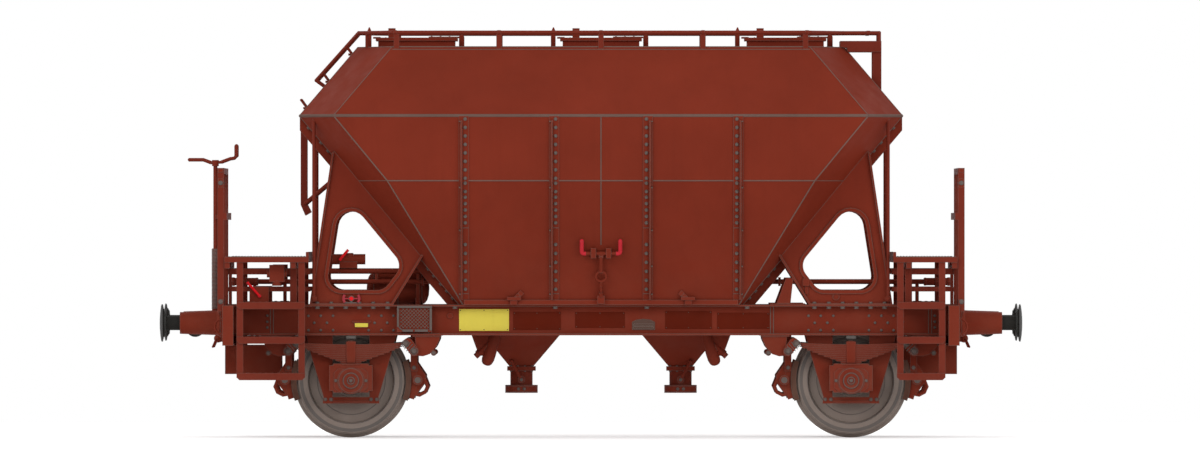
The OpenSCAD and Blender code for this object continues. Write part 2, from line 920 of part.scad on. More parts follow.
module hatch_lid(i) {
    color([0.48, 0.18, 0.11]) whole() translate([i * hatch_pitch, 0, 0]) {
        box(-hatch_half, hatch_half, -hatch_half - 10, hatch_half + 10, 3999, 4008);
        both_halves() box(hatch_half - 8, hatch_half, -hatch_half - 10, hatch_half + 10, 3976, 3999 - seat_gap);
        both_sides() box(
            8 + seat_gap - hatch_half, hatch_half - 8 - seat_gap,
            hatch_half + 2, hatch_half + 10,
            3976, 3999 - seat_gap
        );
        for (y = [-215, 215]) difference() {
            union() {
                box(120, hinge_x - 8, y - 11, y + 11, 4007, 4020);
                cross_pin(hinge_x, hinge_z, 20, y - 11, y + 11);
            }
            cross_pin(hinge_x, hinge_z, 9.7, y - 20, y + 20);
        }
        for (y = [-62, 62]) box(-287, -215, y - 8, y + 8, 4007, 4092);
        box(-287, -215, -70, 70, 4086, 4105);
        box(-440, -366, -45, 45, 4000, 4018);
    }
}

module hatch_lid_1() {
    hatch_lid(-1);
}

module hatch_lid_2() {
    hatch_lid(0);
}

module hatch_lid_3() {
    hatch_lid(1);
}

module hatch_fittings() {
    color([0.40, 0.16, 0.11]) whole() for (i = [-1:1]) translate([i * hatch_pitch, 0, 0]) {
        for (y = [-215, 215]) {
            for (s = [-1, 1]) {
                box(hinge_x - 26, hinge_x + 26, y + s * 22 - 6, y + s * 22 + 6, roof_z, hinge_z);
                cross_pin(hinge_x, hinge_z, 25, y + s * 22 - 6, y + s * 22 + 6);
            }
            cross_pin(hinge_x, hinge_z, 9, y - 28, y + 28);
            box(hinge_x - 34, hinge_x + 34, y - 34, y + 34, roof_z, roof_z + 10);
        }
        box(-504, -456, -30, 30, roof_z, 4050);
        translate([-478, 0, 4050]) cylinder(r = 22, h = 25);
        translate([-478, 0, 4075]) cylinder(r1 = 22, r2 = 5, h = 40);
    }
}

module roof_rails() {
    rail_y = roof_half_width + 10;
    low = roof_end_x(3516);
    turn = roof_half_length - corner_x;
    deck_end = roof_half_length + 350;
    color([0.46, 0.17, 0.11]) whole() both_sides() difference() {
        union() {
            rail([
                [-low, 420, 3516],
                [-low - 85, 420, 3578],
                [10 - roof_half_length, 420, rail_top],
                [2 - turn, rail_y, rail_top],
                [turn - 2, rail_y, rail_top],
                [roof_half_length - 10, 452, rail_top],
                [deck_end, 452, rail_top],
                [deck_end, 452, deck_top]
            ], 18);
            for (x = [45 - turn, -1020, 1020, turn - 45])
                box(x - 27, x + 27, rail_y - 7, rail_y + 8, roof_z - 42, rail_top);
            box(-27, 27, rail_y - 7, rail_y + 8, roof_z - 70, rail_top);
            rod([95 - roof_half_length, 567, roof_z - 60], [95 - roof_half_length, 567, rail_top], 17);
        }
        box(roof_half_length, deck_end + 60, 400, 500, deck_top - 80, deck_top + seat_gap);
        intersection() {
            roof_core();
            mirror([1, 0, 0]) roof_core();
        }
    }
}

module roof_platform() {
    near = roof_half_length - 40;
    far = roof_half_length + 372;
    color([0.46, 0.17, 0.11]) whole() difference() {
        union() {
            difference() {
                box(near, far, -480, 480, deck_top - 28.5, deck_top);
                for (i = [0:2], j = [-4:4])
                    translate([near + i * 128, j * 102, deck_top])
                        box(18, 130, -43, 43, -80, 30);
            }
            both_sides() {
                box(near, far, 440, 480, deck_top - 67.5, deck_top - 20);
                box(near + 70, far, 440, 480, deck_top - 108, deck_top - 60);
                box(far - 87, far, 440, 456, 3400, deck_top - 70);
            }
            box(far - 40, far, -480, 480, deck_top - 108, deck_top - 20);
            box(near, near + 30, -480, 480, deck_top - 67.5, deck_top - 20);
        }
        roof_core();
        mirror([0, 1, 0]) roof_core();
    }
}

module end_ladder() {
    out = waist_half_length;
    bar_z = 2578;
    bar_x = plate_out(bar_z) - 38;
    color([0.46, 0.17, 0.11]) whole() mirror([1, 0, 0]) {
        difference() {
            union() {
                both_sides() {
                    box(out - 65, out, 219, 231, 2330, 3205);
                    along_y(219, 231) polygon([
                        [out, 2331],
                        [out - 65, 2340],
                        [out - 106, 2257],
                        [out - 47, 2222]
                    ]);
                    rail([[out - 50, 225, 2345], [bar_x, 225, bar_z]], 22);
                }
                for (z = [2400, 2660, 2920]) cross_pin(out - 33, z, 14, -225, 225);
                cross_pin(bar_x, bar_z, 15, -994.6, 994.6);
            }
            within(end_face);
        }
        for (z = [3302, 3567, 3841]) translate([roof_end_x(z), 0, z]) {
            tread_x = 58;
            difference() {
                union() {
                    both_sides() rod([-30, 190, -40], [tread_x, 190, 80], 13);
                    both_sides() translate([tread_x, 190, 80]) sphere(r = 14);
                    cross_pin(tread_x, 80, 13, -190, 190);
                    box(-40, 40, -200, 200, -10, 10);
                }
                translate([-roof_end_x(z), 0, -z]) within(roof_end_face);
            }
        }
    }
}

module grab_rods() {
    foot = plate_foot_out - 45;
    color([0.46, 0.17, 0.11]) whole() both_halves() both_sides() difference() {
        union() {
            rod([foot, 1076, 1390], [waist_half_length - 145, 1076, 3300], 17);
            translate([foot, 1076, 1390]) sphere(r = 30);
            box(foot - 25, foot + 30, bar_out, 1080, 1375, 1405);
        }
        hopper_core();
    }
}

module air_reservoir() {
    color([0.44, 0.17, 0.11]) whole() translate([0, -450, 1494]) {
        translate([-2350, 0, 0]) rotate([0, 90, 0]) rotate_extrude() polygon([
            [0, 0],
            [70, 6],
            [120, 22],
            [150, 45],
            [162, 75],
            [162, 555],
            [150, 585],
            [120, 608],
            [70, 624],
            [0, 630]
        ]);
        for (x = [-2250, -1835]) box(x - 28, x + 28, -140, 140, frame_top - 1494, -100);
    }
}

module air_pipes() {
    color([0.44, 0.17, 0.11]) whole() {
        both_ends() difference() {
            union() {
                rod([$reach - 80, -690, 1561], [1500, -690, 1561], 25);
                rod([$reach - 82, -690, 1561], [$reach - 350, -690, 1561], 38);
                rod([$reach - 150, -690, 1561], [$reach - 185, -690, 1561], 52);
                rod([1800, -690, 1561], [1775, -690, 1561], 44);
                for (x = [1835, 3165]) box(x - 18, x + 18, -700, -680, frame_top, 1561);
            }
            within(end_face);
        }
        mirror([1, 0, 0]) difference() {
            union() {
                rod([2900, -690, 1667], [1600, -690, 1667], 28);
                for (x = [1835, 2250]) box(x - 14, x + 14, -700, -680, 1580, 1660);
            }
            within(end_face);
        }
    }
}

module brake_valve_gear() {
    color([0.42, 0.16, 0.11]) whole() mirror([1, 0, 0]) {
        both_sides() {
            box(3165, 3315, 1040, 1130, 1560, 1730);
            translate([3240, 1085, 1520]) cylinder(r = 48, h = 50);
            translate([3140, 1085, 1640]) rotate([0, 90, 0]) cylinder(r = 36, h = 200);
            box(3200, 3280, 1015, 1045, 1640, 1690);
            box(3320, 3515, 1024, 1040, frame_top, 1513);
        }
        translate([2360, -690, 1785]) rotate([0, 90, 0]) cylinder(r = 52, h = 330);
        box(2440, 2620, -740, -640, 1695, 1760);
        translate([2520, -690, 1810]) cylinder(r = 40, h = 38);
    }
}

module unloading_gear() {
    color([0.42, 0.17, 0.12]) whole() both_sides() difference() {
        union() {
            translate([-172, 1275, 1843]) rotate([0, 90, 0]) cylinder(r = 20, h = 344);
            for (x = [-76, 76]) box(x - 26, x + 26, 1150, 1304, 1796, 1896);
            box(-22, 22, 1262, 1288, 1800, 1840);
            rod([0, 1275, 1820], [0, 1212, 1655], 20);
            translate([0, 1190, 1612]) rotate([90 - 20, 0, 0]) rotate_extrude() translate([52, 0]) circle(r = 13);
            rod([0, 1172, 1566], [0, 1150, 1500], 10);
            translate([0, 1142, 1478]) rotate([0, 90, 0]) rotate_extrude() translate([26, 0]) circle(r = 10);
            rod([0, 1132, 1454], [0, 1112, 1410], 22);
            box(-36, 36, 1074, 1124, 1340, 1420);
        }
        within(slant_face);
    }
}

module red_levers() {
    color([0.90, 0.12, 0.13]) whole() {
        both_sides() {
            for (x = [-192.3, 192.3]) {
                rod([x, 1267, 1822], [x, 1322, 1968], 20);
                translate([x, 1322, 1968]) sphere(r = 21);
            }
            mirror([1, 0, 0]) {
                cross_pin(3415, 1418, 18, 1040, 1058);
                rail([[3415, 1056, 1418], [3530, 1056, 1548]], 13);
            }
        }
        mirror([1, 0, 0]) rail([[2620, -756, 1775], [2530, -756, 1880]], 14);
    }
}

module side_fittings() {
    color([0.43, 0.16, 0.11]) whole() both_sides() {
        difference() {
            box(-2040, -1690, bar_out, bar_out + 14, 1058, 1322);
            box(-2015, -1715, bar_out + 4, bar_out + 20, 1085, 1300);
        }
        along_y(1000, 1040) polygon([
            [1690, frame_top],
            [2040, frame_top],
            [2040, frame_top + 15],
            [1920, frame_top + 15],
            [1880, 1598],
            [1790, 1598],
            [1765, frame_top + 15],
            [1690, frame_top + 15]
        ]);
        for (x = [-855, 875]) difference() {
            union() {
                along_y(1074, 1108) polygon([
                    [x - 70, frame_top + 5],
                    [x + 70, frame_top + 5],
                    [x + 70, frame_top + 60],
                    [x + 45, 1465],
                    [x - 30, 1465],
                    [x - 70, frame_top + 60]
                ]);
                cross_pin(x, 1420, 22, 1100, 1122);
            }
            within(slant_face);
        }
    }
}

sole_bars();
headstocks();
cross_bearers();
axle_guards();
axle_boxes();
leaf_springs();
spring_links();
spring_brackets();
brake_end_wheels();
brake_end_axle();
plain_end_wheels();
plain_end_axle();
brake_shoes();
brake_beams();
brake_hangers();
buffer_sleeves();
buffer_heads();
draw_hooks();
headstock_fittings();
platform_floors();
platform_frames();
end_rails();
boarding_steps();
end_boxes();
handbrake_spindle();
handbrake_crank();
side_sheets_upper();
side_sheets_lower();
end_sheets();
corner_sheets();
waist_flange();
roof_side_sheets();
roof_end_sheets();
roof_corner_sheets();
roof_top();
side_ribs();
end_ribs();
hopper_sills();
support_plates();
funnel_cross_sheets();
saddle_ridge();
funnel_side_sheets();
outlet_necks();
valve_levers();
air_inlets();
hatch_coamings();
hatch_lid_1();
hatch_lid_2();
hatch_lid_3();
hatch_fittings();
roof_rails();
roof_platform();
end_ladder();
grab_rods();
air_reservoir();
air_pipes();
brake_valve_gear();
unloading_gear();
red_levers();
side_fittings();
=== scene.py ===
import json
import math
from itertools import product

import bmesh
import bpy
from mathutils import Matrix, Vector


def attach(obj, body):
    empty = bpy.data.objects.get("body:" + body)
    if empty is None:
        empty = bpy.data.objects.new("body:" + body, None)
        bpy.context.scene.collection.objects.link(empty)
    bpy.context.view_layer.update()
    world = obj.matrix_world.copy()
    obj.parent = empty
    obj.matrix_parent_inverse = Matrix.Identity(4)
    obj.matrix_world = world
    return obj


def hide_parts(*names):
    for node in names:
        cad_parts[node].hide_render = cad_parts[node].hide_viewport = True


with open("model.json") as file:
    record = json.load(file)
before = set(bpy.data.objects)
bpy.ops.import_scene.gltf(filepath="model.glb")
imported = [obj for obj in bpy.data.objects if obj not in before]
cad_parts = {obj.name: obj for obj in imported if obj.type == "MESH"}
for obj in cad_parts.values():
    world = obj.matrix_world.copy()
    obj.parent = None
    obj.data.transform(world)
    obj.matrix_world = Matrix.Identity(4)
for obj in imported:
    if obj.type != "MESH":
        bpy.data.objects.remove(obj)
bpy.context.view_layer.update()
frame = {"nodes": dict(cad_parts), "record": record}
nodes = frame["nodes"]

# Sizes of the wagon in metres, u is measured along the track from the middle of the hopper
SHIFT = 0.1
AXLE_U = 2.5
AXLE_Z = 0.572
WHEEL_FACE = 0.815
FRAME_TOP = 1.33
SOLE_FOOT = 1.025
PLAIN_REACH = 3.582
BRAKE_REACH = 3.782
BUFFER_Z = 1.148
BUFFER_Y = 0.875
WAIST_Z = 3.215
ROOF_FOOT = 3.225
ROOF_Z = 3.91
BEND_Z = 2.57
WAIST_HALF_X = 3.015
WAIST_HALF_Y = 1.5
CORNER_X = 0.35
CORNER_Y = 0.6
FOOT_HALF_X = 1.42
FOOT_HALF_Y = 1.034
FOOT_CORNER_X = 0.04
ROOF_HALF_X = 2.44
ROOF_HALF_Y = 1.0
SIDE_SLOPE = (WAIST_HALF_Y - FOOT_HALF_Y) / (BEND_Z - FRAME_TOP)
END_SLOPE = (WAIST_HALF_X - FOOT_HALF_X) / (WAIST_Z - FRAME_TOP)
ROOF_SIDE_SLOPE = (WAIST_HALF_Y - ROOF_HALF_Y) / (ROOF_Z - ROOF_FOOT)
OUTLET_U = 0.799
HATCH_CENTRES = (-1.85, 0.0, 1.85)
RIB_CENTRES = (0.468, 1.37)
RIB_THICK = 0.009
WEB_Y = 0.957
PLATE_Y = 1.007
HOLDER_Y = 1.059
PLATFORM_TOP = 1.808
PLATFORM_IN = 2.92
POST_Y = (0.42, 1.2)
STEP_TOPS = (0.648, 1.012, 1.358)
# Signs across the track and along it, and the wagon's quarters as pairs (along, across)
SIDES = (-1, 1)
HALVES = (-1, 1)
QUARTERS = tuple((ex, sy) for sy in SIDES for ex in HALVES)
ENDS = ((-1, BRAKE_REACH), (1, PLAIN_REACH))
WHEELSETS = ((-1, "wheelset_brake_end"), (1, "wheelset_plain_end"))
# How far a small piece sinks into what carries it, the turn from which an edge stays sharp,
# and about how long one stretch of a weld bead is
SINK = 0.001
SHARP_ANGLE = math.radians(40.0)
BEAD_STEP = 0.2
# Heights between which the dust from the track fades out
DUST_FOOT, DUST_TOP = 0.2, 2.2
WHITE = (1.0, 1.0, 1.0, 1.0)


def linear(red, green, blue):
    """A colour written in 0 to 255 steps, as linear light."""
    def one(value):
        value /= 255.0
        return value / 12.92 if value <= 0.04045 else ((value + 0.055) / 1.055) ** 2.4

    return one(red), one(green), one(blue), 1.0


def at(u, y, z):
    return Vector((u + SHIFT, y, z))


def facing(place, normal):
    """A frame at place whose Z axis points along normal, with Y upright where it can be."""
    z = Vector(normal).normalized()
    x = Vector((1, 0, 0))
    if abs(z.z) < 0.99:
        x = Vector((0, 0, 1)).cross(z).normalized()
    y = z.cross(x)
    m = Matrix((x, y, z)).transposed().to_4x4()
    m.translation = Vector(place)
    return m


def circle(segments):
    """Cosine and sine at even steps round a circle."""
    angles = [2 * math.pi * k / segments for k in range(segments)]
    return [(math.cos(a), math.sin(a)) for a in angles]


class Shape:
    """Collects closed solids into one mesh, in metres, in the wagon's frame."""

    def __init__(self):
        self.verts = []
        self.faces = []

    def add(self, verts, faces):
        base = len(self.verts)
        self.verts.extend(tuple(v) for v in verts)
        self.faces.extend(tuple(base + i for i in f) for f in faces)

    def rings(self, verts, segments, closed=False):
        """Joins a row of rings of points, with flat ends unless the row closes on itself."""
        count = len(verts) // segments
        faces = []
        for i in range(count if closed else count - 1):
            j = (i + 1) % count
            for k in range(segments):
                n = (k + 1) % segments
                faces.append((i * segments + k, i * segments + n, j * segments + n, j * segments + k))
        if not closed:
            last = (count - 1) * segments
            faces.append(tuple(reversed(range(segments))))
            faces.append(tuple(range(last, last + segments)))
        self.add(verts, faces)

    def lathe(self, profile, matrix, segments=24, hollow=False):
        """Turns (radius, height) pairs round the local Z axis, hollow for a closed ring."""
        verts = []
        for radius, height in profile:
            for c, s in circle(segments):
                verts.append(matrix @ Vector((radius * c, radius * s, height)))
        self.rings(verts, segments, hollow)

    def disc(self, place, normal, radius, high, edge=0.003, segments=32):
        """A round boss with a chamfered rim."""
        self.lathe(
            [(radius, 0.0), (radius, high - edge), (radius - edge, high)], facing(place, normal), segments
        )

    def ring(self, place, normal, inner, outer, high, edge=0.002, segments=48):
        """A flat ring with chamfered rims."""
        self.lathe([
            (inner, -edge),
            (inner, high - edge),
            (inner + edge, high),
            (outer - edge, high),
            (outer, high - edge),
            (outer, -edge),
        ], facing(place, normal), segments, True)

    def sleeve(self, place, normal, radius, half, inward, along, segments):
        """A short sleeve or nut, with chamfers that go inward and along."""
        self.lathe([
            (radius - inward, -half),
            (radius, -half + along),
            (radius, half - along),
            (radius - inward, half),
        ], facing(place, normal), segments)

    def box(self, low, high, edge=0.003, matrix=None):
        """A box with narrow chamfers along its edges."""
        lo = Vector([min(a, b) for a, b in zip(low, high)])
        hi = Vector([max(a, b) for a, b in zip(low, high)])
        e = min([edge] + [(hi[i] - lo[i]) * 0.3 for i in range(3)])
        corners = list(product((0, 1), repeat=3))
        verts, index = [], {}
        for corner in corners:
            for axis in range(3):
                point = [(lo, hi)[s][i] for i, s in enumerate(corner)]
                for other in range(3):
                    if other != axis:
                        point[other] += -e if corner[other] else e
                index[corner, axis] = len(verts)
                verts.append(matrix @ Vector(point) if matrix else point)

        def corner_at(axis, along, first, second):
            key = [0, 0, 0]
            key[axis], key[(axis + 1) % 3], key[(axis + 2) % 3] = along, first, second
            return tuple(key)

        faces = []
        for axis in range(3):
            a, b = (axis + 1) % 3, (axis + 2) % 3
            for s in (0, 1):
                around = ((0, 0), (1, 0), (1, 1), (0, 1))
                faces.append([index[corner_at(axis, s, *pair), axis] for pair in around])
            for pair in product((0, 1), repeat=2):
                start, end = corner_at(axis, 0, *pair), corner_at(axis, 1, *pair)
                faces.append((index[start, a], index[end, a], index[end, b], index[start, b]))
        for corner in corners:
            faces.append([index[corner, axis] for axis in range(3)])
        self.add(verts, faces)

    def side_box(self, u0, u1, z0, z1, y0, y1, sy, edge=0.003):
        """A box on one side of the wagon."""
        self.box((u0 + SHIFT, sy * y0, z0), (u1 + SHIFT, sy * y1, z1), edge)

    def side_plate(self, outline, y0, y1, sy, edge=0.002):
        """A plate with an outline of (u, z) points and a chamfered outer face."""
        count = len(outline)
        mid_u = sum(p[0] for p in outline) / count
        mid_z = sum(p[1] for p in outline) / count
        verts = []
        for y, inward in ((y0, 0.0), (y1 - edge, 0.0), (y1, edge)):
            for u, z in outline:
                away = Vector((u - mid_u, z - mid_z))
                scale = 1.0 - inward / away.length
                verts.append(at(mid_u + away.x * scale, sy * y, mid_z + away.y * scale))
        self.rings(verts, count)

    def tube(self, points, radius, segments=10, closed=False):
        """A round tube along a line of points."""
        pts = [Vector(p) for p in points]
        count = len(pts)
        verts = []
        normal = None
        for i, p in enumerate(pts):
            if closed:
                d = pts[(i + 1) % count] - pts[i - 1]
            else:
                d = pts[min(i + 1, count - 1)] - pts[max(i - 1, 0)]
            d.normalize()
            if normal is None:
                normal = d.orthogonal().normalized()
            else:
                normal = (normal - d * normal.dot(d)).normalized()
            side = d.cross(normal)
            for c, s in circle(segments):
                verts.append(p + radius * (c * normal + s * side))
        self.rings(verts, segments, closed)

    def hoop(self, place, normal, radius, thick, segments=36, around=8):
        """A round bead bent into a ring."""
        matrix = facing(place, normal)
        points = [matrix @ Vector((radius * c, radius * s, 0.0)) for c, s in circle(segments)]
        self.tube(points, thick, around, True)

    def hex_bolt(self, place, normal, across, high, washer=True):
        """A bolt head with its chamfer, on a washer."""
        matrix = facing(place, normal)
        r = across / 2 / math.cos(math.pi / 6)
        low = -SINK
        if washer:
            self.lathe([(r * 1.25, -SINK), (r * 1.25, 0.003), (r * 1.18, 0.0036)], matrix, 16)
            low = 0.003
        self.lathe([(r, low), (r, low + high * 0.82), (r * 0.82, low + high)], matrix, 6)

    def rivet(self, place, normal, radius):
        """A round rivet head."""
        self.lathe([
            (radius, -SINK),
            (radius * 0.96, radius * 0.3),
            (radius * 0.72, radius * 0.58),
            (radius * 0.34, radius * 0.72),
        ], facing(place, normal), 12)

    def bead(self, a, b, radius):
        """A weld bead along a straight seam."""
        a, b = Vector(a), Vector(b)
        count = max(2, int((b - a).length / BEAD_STEP))
        self.tube([a.lerp(b, i / count) for i in range(count + 1)], radius, 8)


def add_object(name, data):
    obj = bpy.data.objects.new(name, data)
    bpy.context.scene.collection.objects.link(obj)
    return obj


def place_piece(name, shape, material, body="wagon"):
    """Makes the mesh, with outward faces and sharp edges kept, and hangs it on its body."""
    mesh = bpy.data.meshes.new(name)
    mesh.from_pydata(shape.verts, [], shape.faces)
    work = bmesh.new()
    work.from_mesh(mesh)
    bmesh.ops.recalc_face_normals(work, faces=work.faces)
    for face in work.faces:
        face.smooth = True
    work.to_mesh(mesh)
    work.free()
    mesh.set_sharp_from_angle(angle=SHARP_ANGLE)
    mesh.validate()
    piece = add_object(name, mesh)
    piece.data.materials.append(material)
    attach(piece, body)
    return piece


def new_node(tree, kind, **inputs):
    node = tree.nodes.new(kind)
    for key, value in inputs.items():
        node.inputs[key].default_value = value
    return node


def plug(tree, socket, value):
    """Sets a socket from another node's output or from a plain value."""
    if hasattr(value, "is_output"):
        tree.links.new(value, socket)
    else:
        socket.default_value = value


def ramp(tree, source, stops):
    node = tree.nodes.new("ShaderNodeValToRGB")
    while len(node.color_ramp.elements) < len(stops):
        node.color_ramp.elements.new(0.5)
    for element, (position, value) in zip(node.color_ramp.elements, stops):
        element.position = position
        element.color = (value, value, value, 1.0)
    tree.links.new(source, node.inputs["Fac"])
    return node.outputs["Color"]


def mixed(tree, factor, first, second, blend="MIX"):
    node = tree.nodes.new("ShaderNodeMix")
    node.data_type = "RGBA"
    node.blend_type = blend
    for socket, value in ((node.inputs[0], factor), (node.inputs[6], first), (node.inputs[7], second)):
        plug(tree, socket, value)
    return node.outputs[2]


def math_node(tree, operation, *values):
    node = tree.nodes.new("ShaderNodeMath")
    node.operation = operation
    for socket, value in zip(node.inputs, values):
        plug(tree, socket, value)
    return node.outputs[0]


# Colours in 0 to 255 steps
RUST = (96, 56, 38)
BARE = (140, 128, 120)
EDGE = (112, 86, 77)
DUST = (128, 104, 88)


def coated(
    name, colour, worn=RUST, edge=EDGE, edge_width=0.011, edge_strength=0.9,
    dust=0.12, chips=0.3, rough=0.6, metal=0.0, grain=60.0, bump=0.08, streak=0.22, gloss=0.06, far=None,
):
    """Paint or metal with cloudy fading, rain streaks, dust near the track, worn edges and small chips.

    far is a colour and a distance: beyond that distance from the middle the colour changes.
    """
    colour, worn, edge = linear(*colour), linear(*worn), linear(*edge)
    material = bpy.data.materials.new(name)
    material.use_nodes = True
    tree = material.node_tree
    shader = tree.nodes["Principled BSDF"]
    where = tree.nodes.new("ShaderNodeTexCoord").outputs["Object"]
    place = tree.nodes.new("ShaderNodeSeparateXYZ")
    tree.links.new(where, place.inputs[0])

    def cloud(scale, detail, stretch=None, roughness=0.55):
        spot = where
        if stretch:
            mapping = new_node(tree, "ShaderNodeMapping", Scale=stretch)
            tree.links.new(where, mapping.inputs["Vector"])
            spot = mapping.outputs["Vector"]
        node = new_node(tree, "ShaderNodeTexNoise", Scale=scale, Detail=detail, Roughness=roughness)
        tree.links.new(spot, node.inputs["Vector"])
        return node.outputs["Fac"]

    base = colour
    if far:
        length = math_node(tree, "ABSOLUTE", place.outputs["X"])
        base = mixed(tree, math_node(tree, "GREATER_THAN", length, far[1]), colour, linear(*far[0]))
    fade = ramp(tree, cloud(1.3, 5.0), ((0.3, 0.9), (0.7, 1.08)))
    base = mixed(tree, 1.0, base, fade, "MULTIPLY")
    rain = ramp(tree, cloud(1.0, 6.0, (9.0, 9.0, 0.55), 0.65), ((0.5, 0.0), (0.8, streak)))
    base = mixed(tree, rain, base, tuple(c * 0.66 for c in colour[:3]) + (1.0,))
    low = new_node(tree, "ShaderNodeMapRange", **{"From Min": DUST_TOP, "From Max": DUST_FOOT})
    tree.links.new(place.outputs["Z"], low.inputs["Value"])
    dusty = ramp(tree, cloud(3.2, 8.0, None, 0.68), ((0.36, 0.0), (0.72, dust)))
    base = mixed(tree, math_node(tree, "MULTIPLY", low.outputs["Result"], dusty), base, linear(*DUST))
    speck = cloud(17.0, 9.0, None, 0.7)
    base = mixed(tree, ramp(tree, speck, ((0.66, 0.0), (0.7, chips))), base, worn)
    if edge_strength:
        bevel = new_node(tree, "ShaderNodeBevel", Radius=edge_width)
        bevel.samples = 6
        normal = tree.nodes.new("ShaderNodeNewGeometry").outputs["Normal"]
        turn = tree.nodes.new("ShaderNodeVectorMath")
        turn.operation = "DOT_PRODUCT"
        tree.links.new(bevel.outputs["Normal"], turn.inputs[0])
        tree.links.new(normal, turn.inputs[1])
        rim = ramp(tree, turn.outputs["Value"], ((0.9, edge_strength), (0.985, 0.0)))
        patchy = ramp(tree, speck, ((0.3, 0.75), (0.6, 1.0)))
        base = mixed(tree, math_node(tree, "MULTIPLY", rim, patchy), base, edge)
    tree.links.new(base, shader.inputs["Base Color"])
    polish = ramp(tree, cloud(6.0, 6.0), ((0.25, max(rough - 0.1, 0.05)), (0.75, min(rough + 0.14, 1.0))))
    tree.links.new(polish, shader.inputs["Roughness"])
    shader.inputs["Metallic"].default_value = metal
    shader.inputs["Specular IOR Level"].default_value = gloss
    relief = new_node(tree, "ShaderNodeBump", Strength=bump, Distance=0.004)
    tree.links.new(cloud(grain, 4.0), relief.inputs["Height"])
    tree.links.new(relief.outputs["Normal"], shader.inputs["Normal"])
    return material


WAGON_RED = (121, 44, 28)
FITTING_RED = (119, 44, 29)
BUFFER_BLACK = (44, 43, 41)
STEEL_EDGE = (92, 84, 79)
body_paint = coated("body_paint", WAGON_RED)
roof_paint = coated("roof_paint", (122, 45, 29), streak=0.2)
frame_paint = coated("frame_paint", (120, 44, 28), dust=0.16)
rail_paint = coated("rail_paint", (115, 44, 31), edge_width=0.007, edge_strength=0.75)
fitting_paint = coated("fitting_paint", FITTING_RED, edge_width=0.008)
casting_paint = coated("casting_paint", FITTING_RED, dust=0.2, grain=110.0, bump=0.18)
spring_paint = coated(
    "spring_paint", (114, 46, 33), edge=(120, 92, 82), edge_width=0.005, dust=0.2,
)
wheel_steel = coated(
    "wheel_steel", (136, 123, 115), (104, 80, 66), STEEL_EDGE, 0.008,
    dust=0.15, metal=0.05, gloss=0.2,
)
band_steel = coated(
    "band_steel", (102, 95, 91), (80, 66, 56), STEEL_EDGE, 0.003, rough=0.55, gloss=0.2,
)
thread_steel = coated(
    "thread_steel", (106, 98, 93), (96, 60, 46), STEEL_EDGE, 0.002, rough=0.5, gloss=0.2,
)
axle_steel = coated("axle_steel", (98, 86, 78), edge=STEEL_EDGE, dust=0.25, metal=0.2)
shoe_iron = coated(
    "shoe_iron", (92, 62, 52), edge=STEEL_EDGE, dust=0.25, rough=0.75, grain=120.0, bump=0.3,
)
black_paint = coated("black_paint", BUFFER_BLACK, (70, 62, 56), (88, 88, 86), dust=0.1)
buffer_steel = coated(
    "buffer_steel", BUFFER_BLACK, (62, 58, 54), (84, 84, 82), 0.004,
    dust=0.05, rough=0.65, gloss=0.03, far=((88, 88, 88), 4.2815),
)
seam_paint = coated("seam_paint", (112, 88, 80), edge_strength=0.0, dust=0.05, chips=0.15)
outline_grey = coated(
    "outline_grey", (104, 92, 87), edge=STEEL_EDGE, edge_width=0.003, dust=0.05, chips=0.15,
)
red_paint = coated(
    "red_paint", (196, 46, 56), (140, 60, 56), (150, 66, 76), 0.006,
    dust=0.04, rough=0.5, chips=0.2, far=((234, 30, 37), 1.0),
)
dull_red_paint = coated(
    "dull_red_paint", (166, 58, 66), (120, 60, 56), (124, 84, 84), 0.005, dust=0.04,
)
yellow_paint = coated(
    "yellow_paint", (225, 208, 84), (150, 130, 70), (190, 176, 90), 0.003,
    dust=0.06, chips=0.2,
)
panel_paint = coated(
    "panel_paint", (94, 26, 8), (112, 48, 32), (108, 52, 36), 0.003,
    dust=0.04, chips=0.15,
)
plate_paint = coated(
    "plate_paint", (92, 70, 62), BARE, (142, 128, 120), 0.004,
    dust=0.05, rough=0.45, metal=0.2,
)
rubber = coated("rubber", (96, 92, 89), (80, 74, 70), STEEL_EDGE, 0.004, dust=0.15, rough=0.8)

SLOT_LOOKS = {
    "wagon_paint": body_paint,
    "frame_paint": frame_paint,
    "rail_paint": rail_paint,
    "fitting_paint": fitting_paint,
    "box_casting": casting_paint,
    "spring_steel": spring_paint,
    "wheel_steel": wheel_steel,
    "axle_steel": axle_steel,
    "shoe_iron": shoe_iron,
    "dark_steel": black_paint,
    "buffer_steel": buffer_steel,
    "lever_red": red_paint,
}
# Each node takes the look of its slot, apart from the roof's sheets, the hatches and the waist
for row in frame["record"]["subparts"]:
    name, slot = row["node"], row["material_slot"]
    look = SLOT_LOOKS[slot]
    if slot == "wagon_paint" and name.startswith(("roof_", "hatch_")):
        look = roof_paint
    if name == "waist_flange":
        look = seam_paint
    mesh = nodes[name].data
    mesh.materials.clear()
    mesh.materials.append(look)


def side_y(z):
    """Half-width of the hopper's outside at a height."""
    return WAIST_HALF_Y if z >= BEND_Z else WAIST_HALF_Y - SIDE_SLOPE * (BEND_Z - z)


def side_normal(z, sy):
    slope = 0.0 if z >= BEND_Z else -SIDE_SLOPE
    return Vector((0.0, sy, slope)).normalized()


def on_side(u, z, sy, out=0.0):
    """A point on the hopper's side, out metres from its sheet."""
    return at(u, sy * side_y(z), z) + side_normal(z, sy) * out


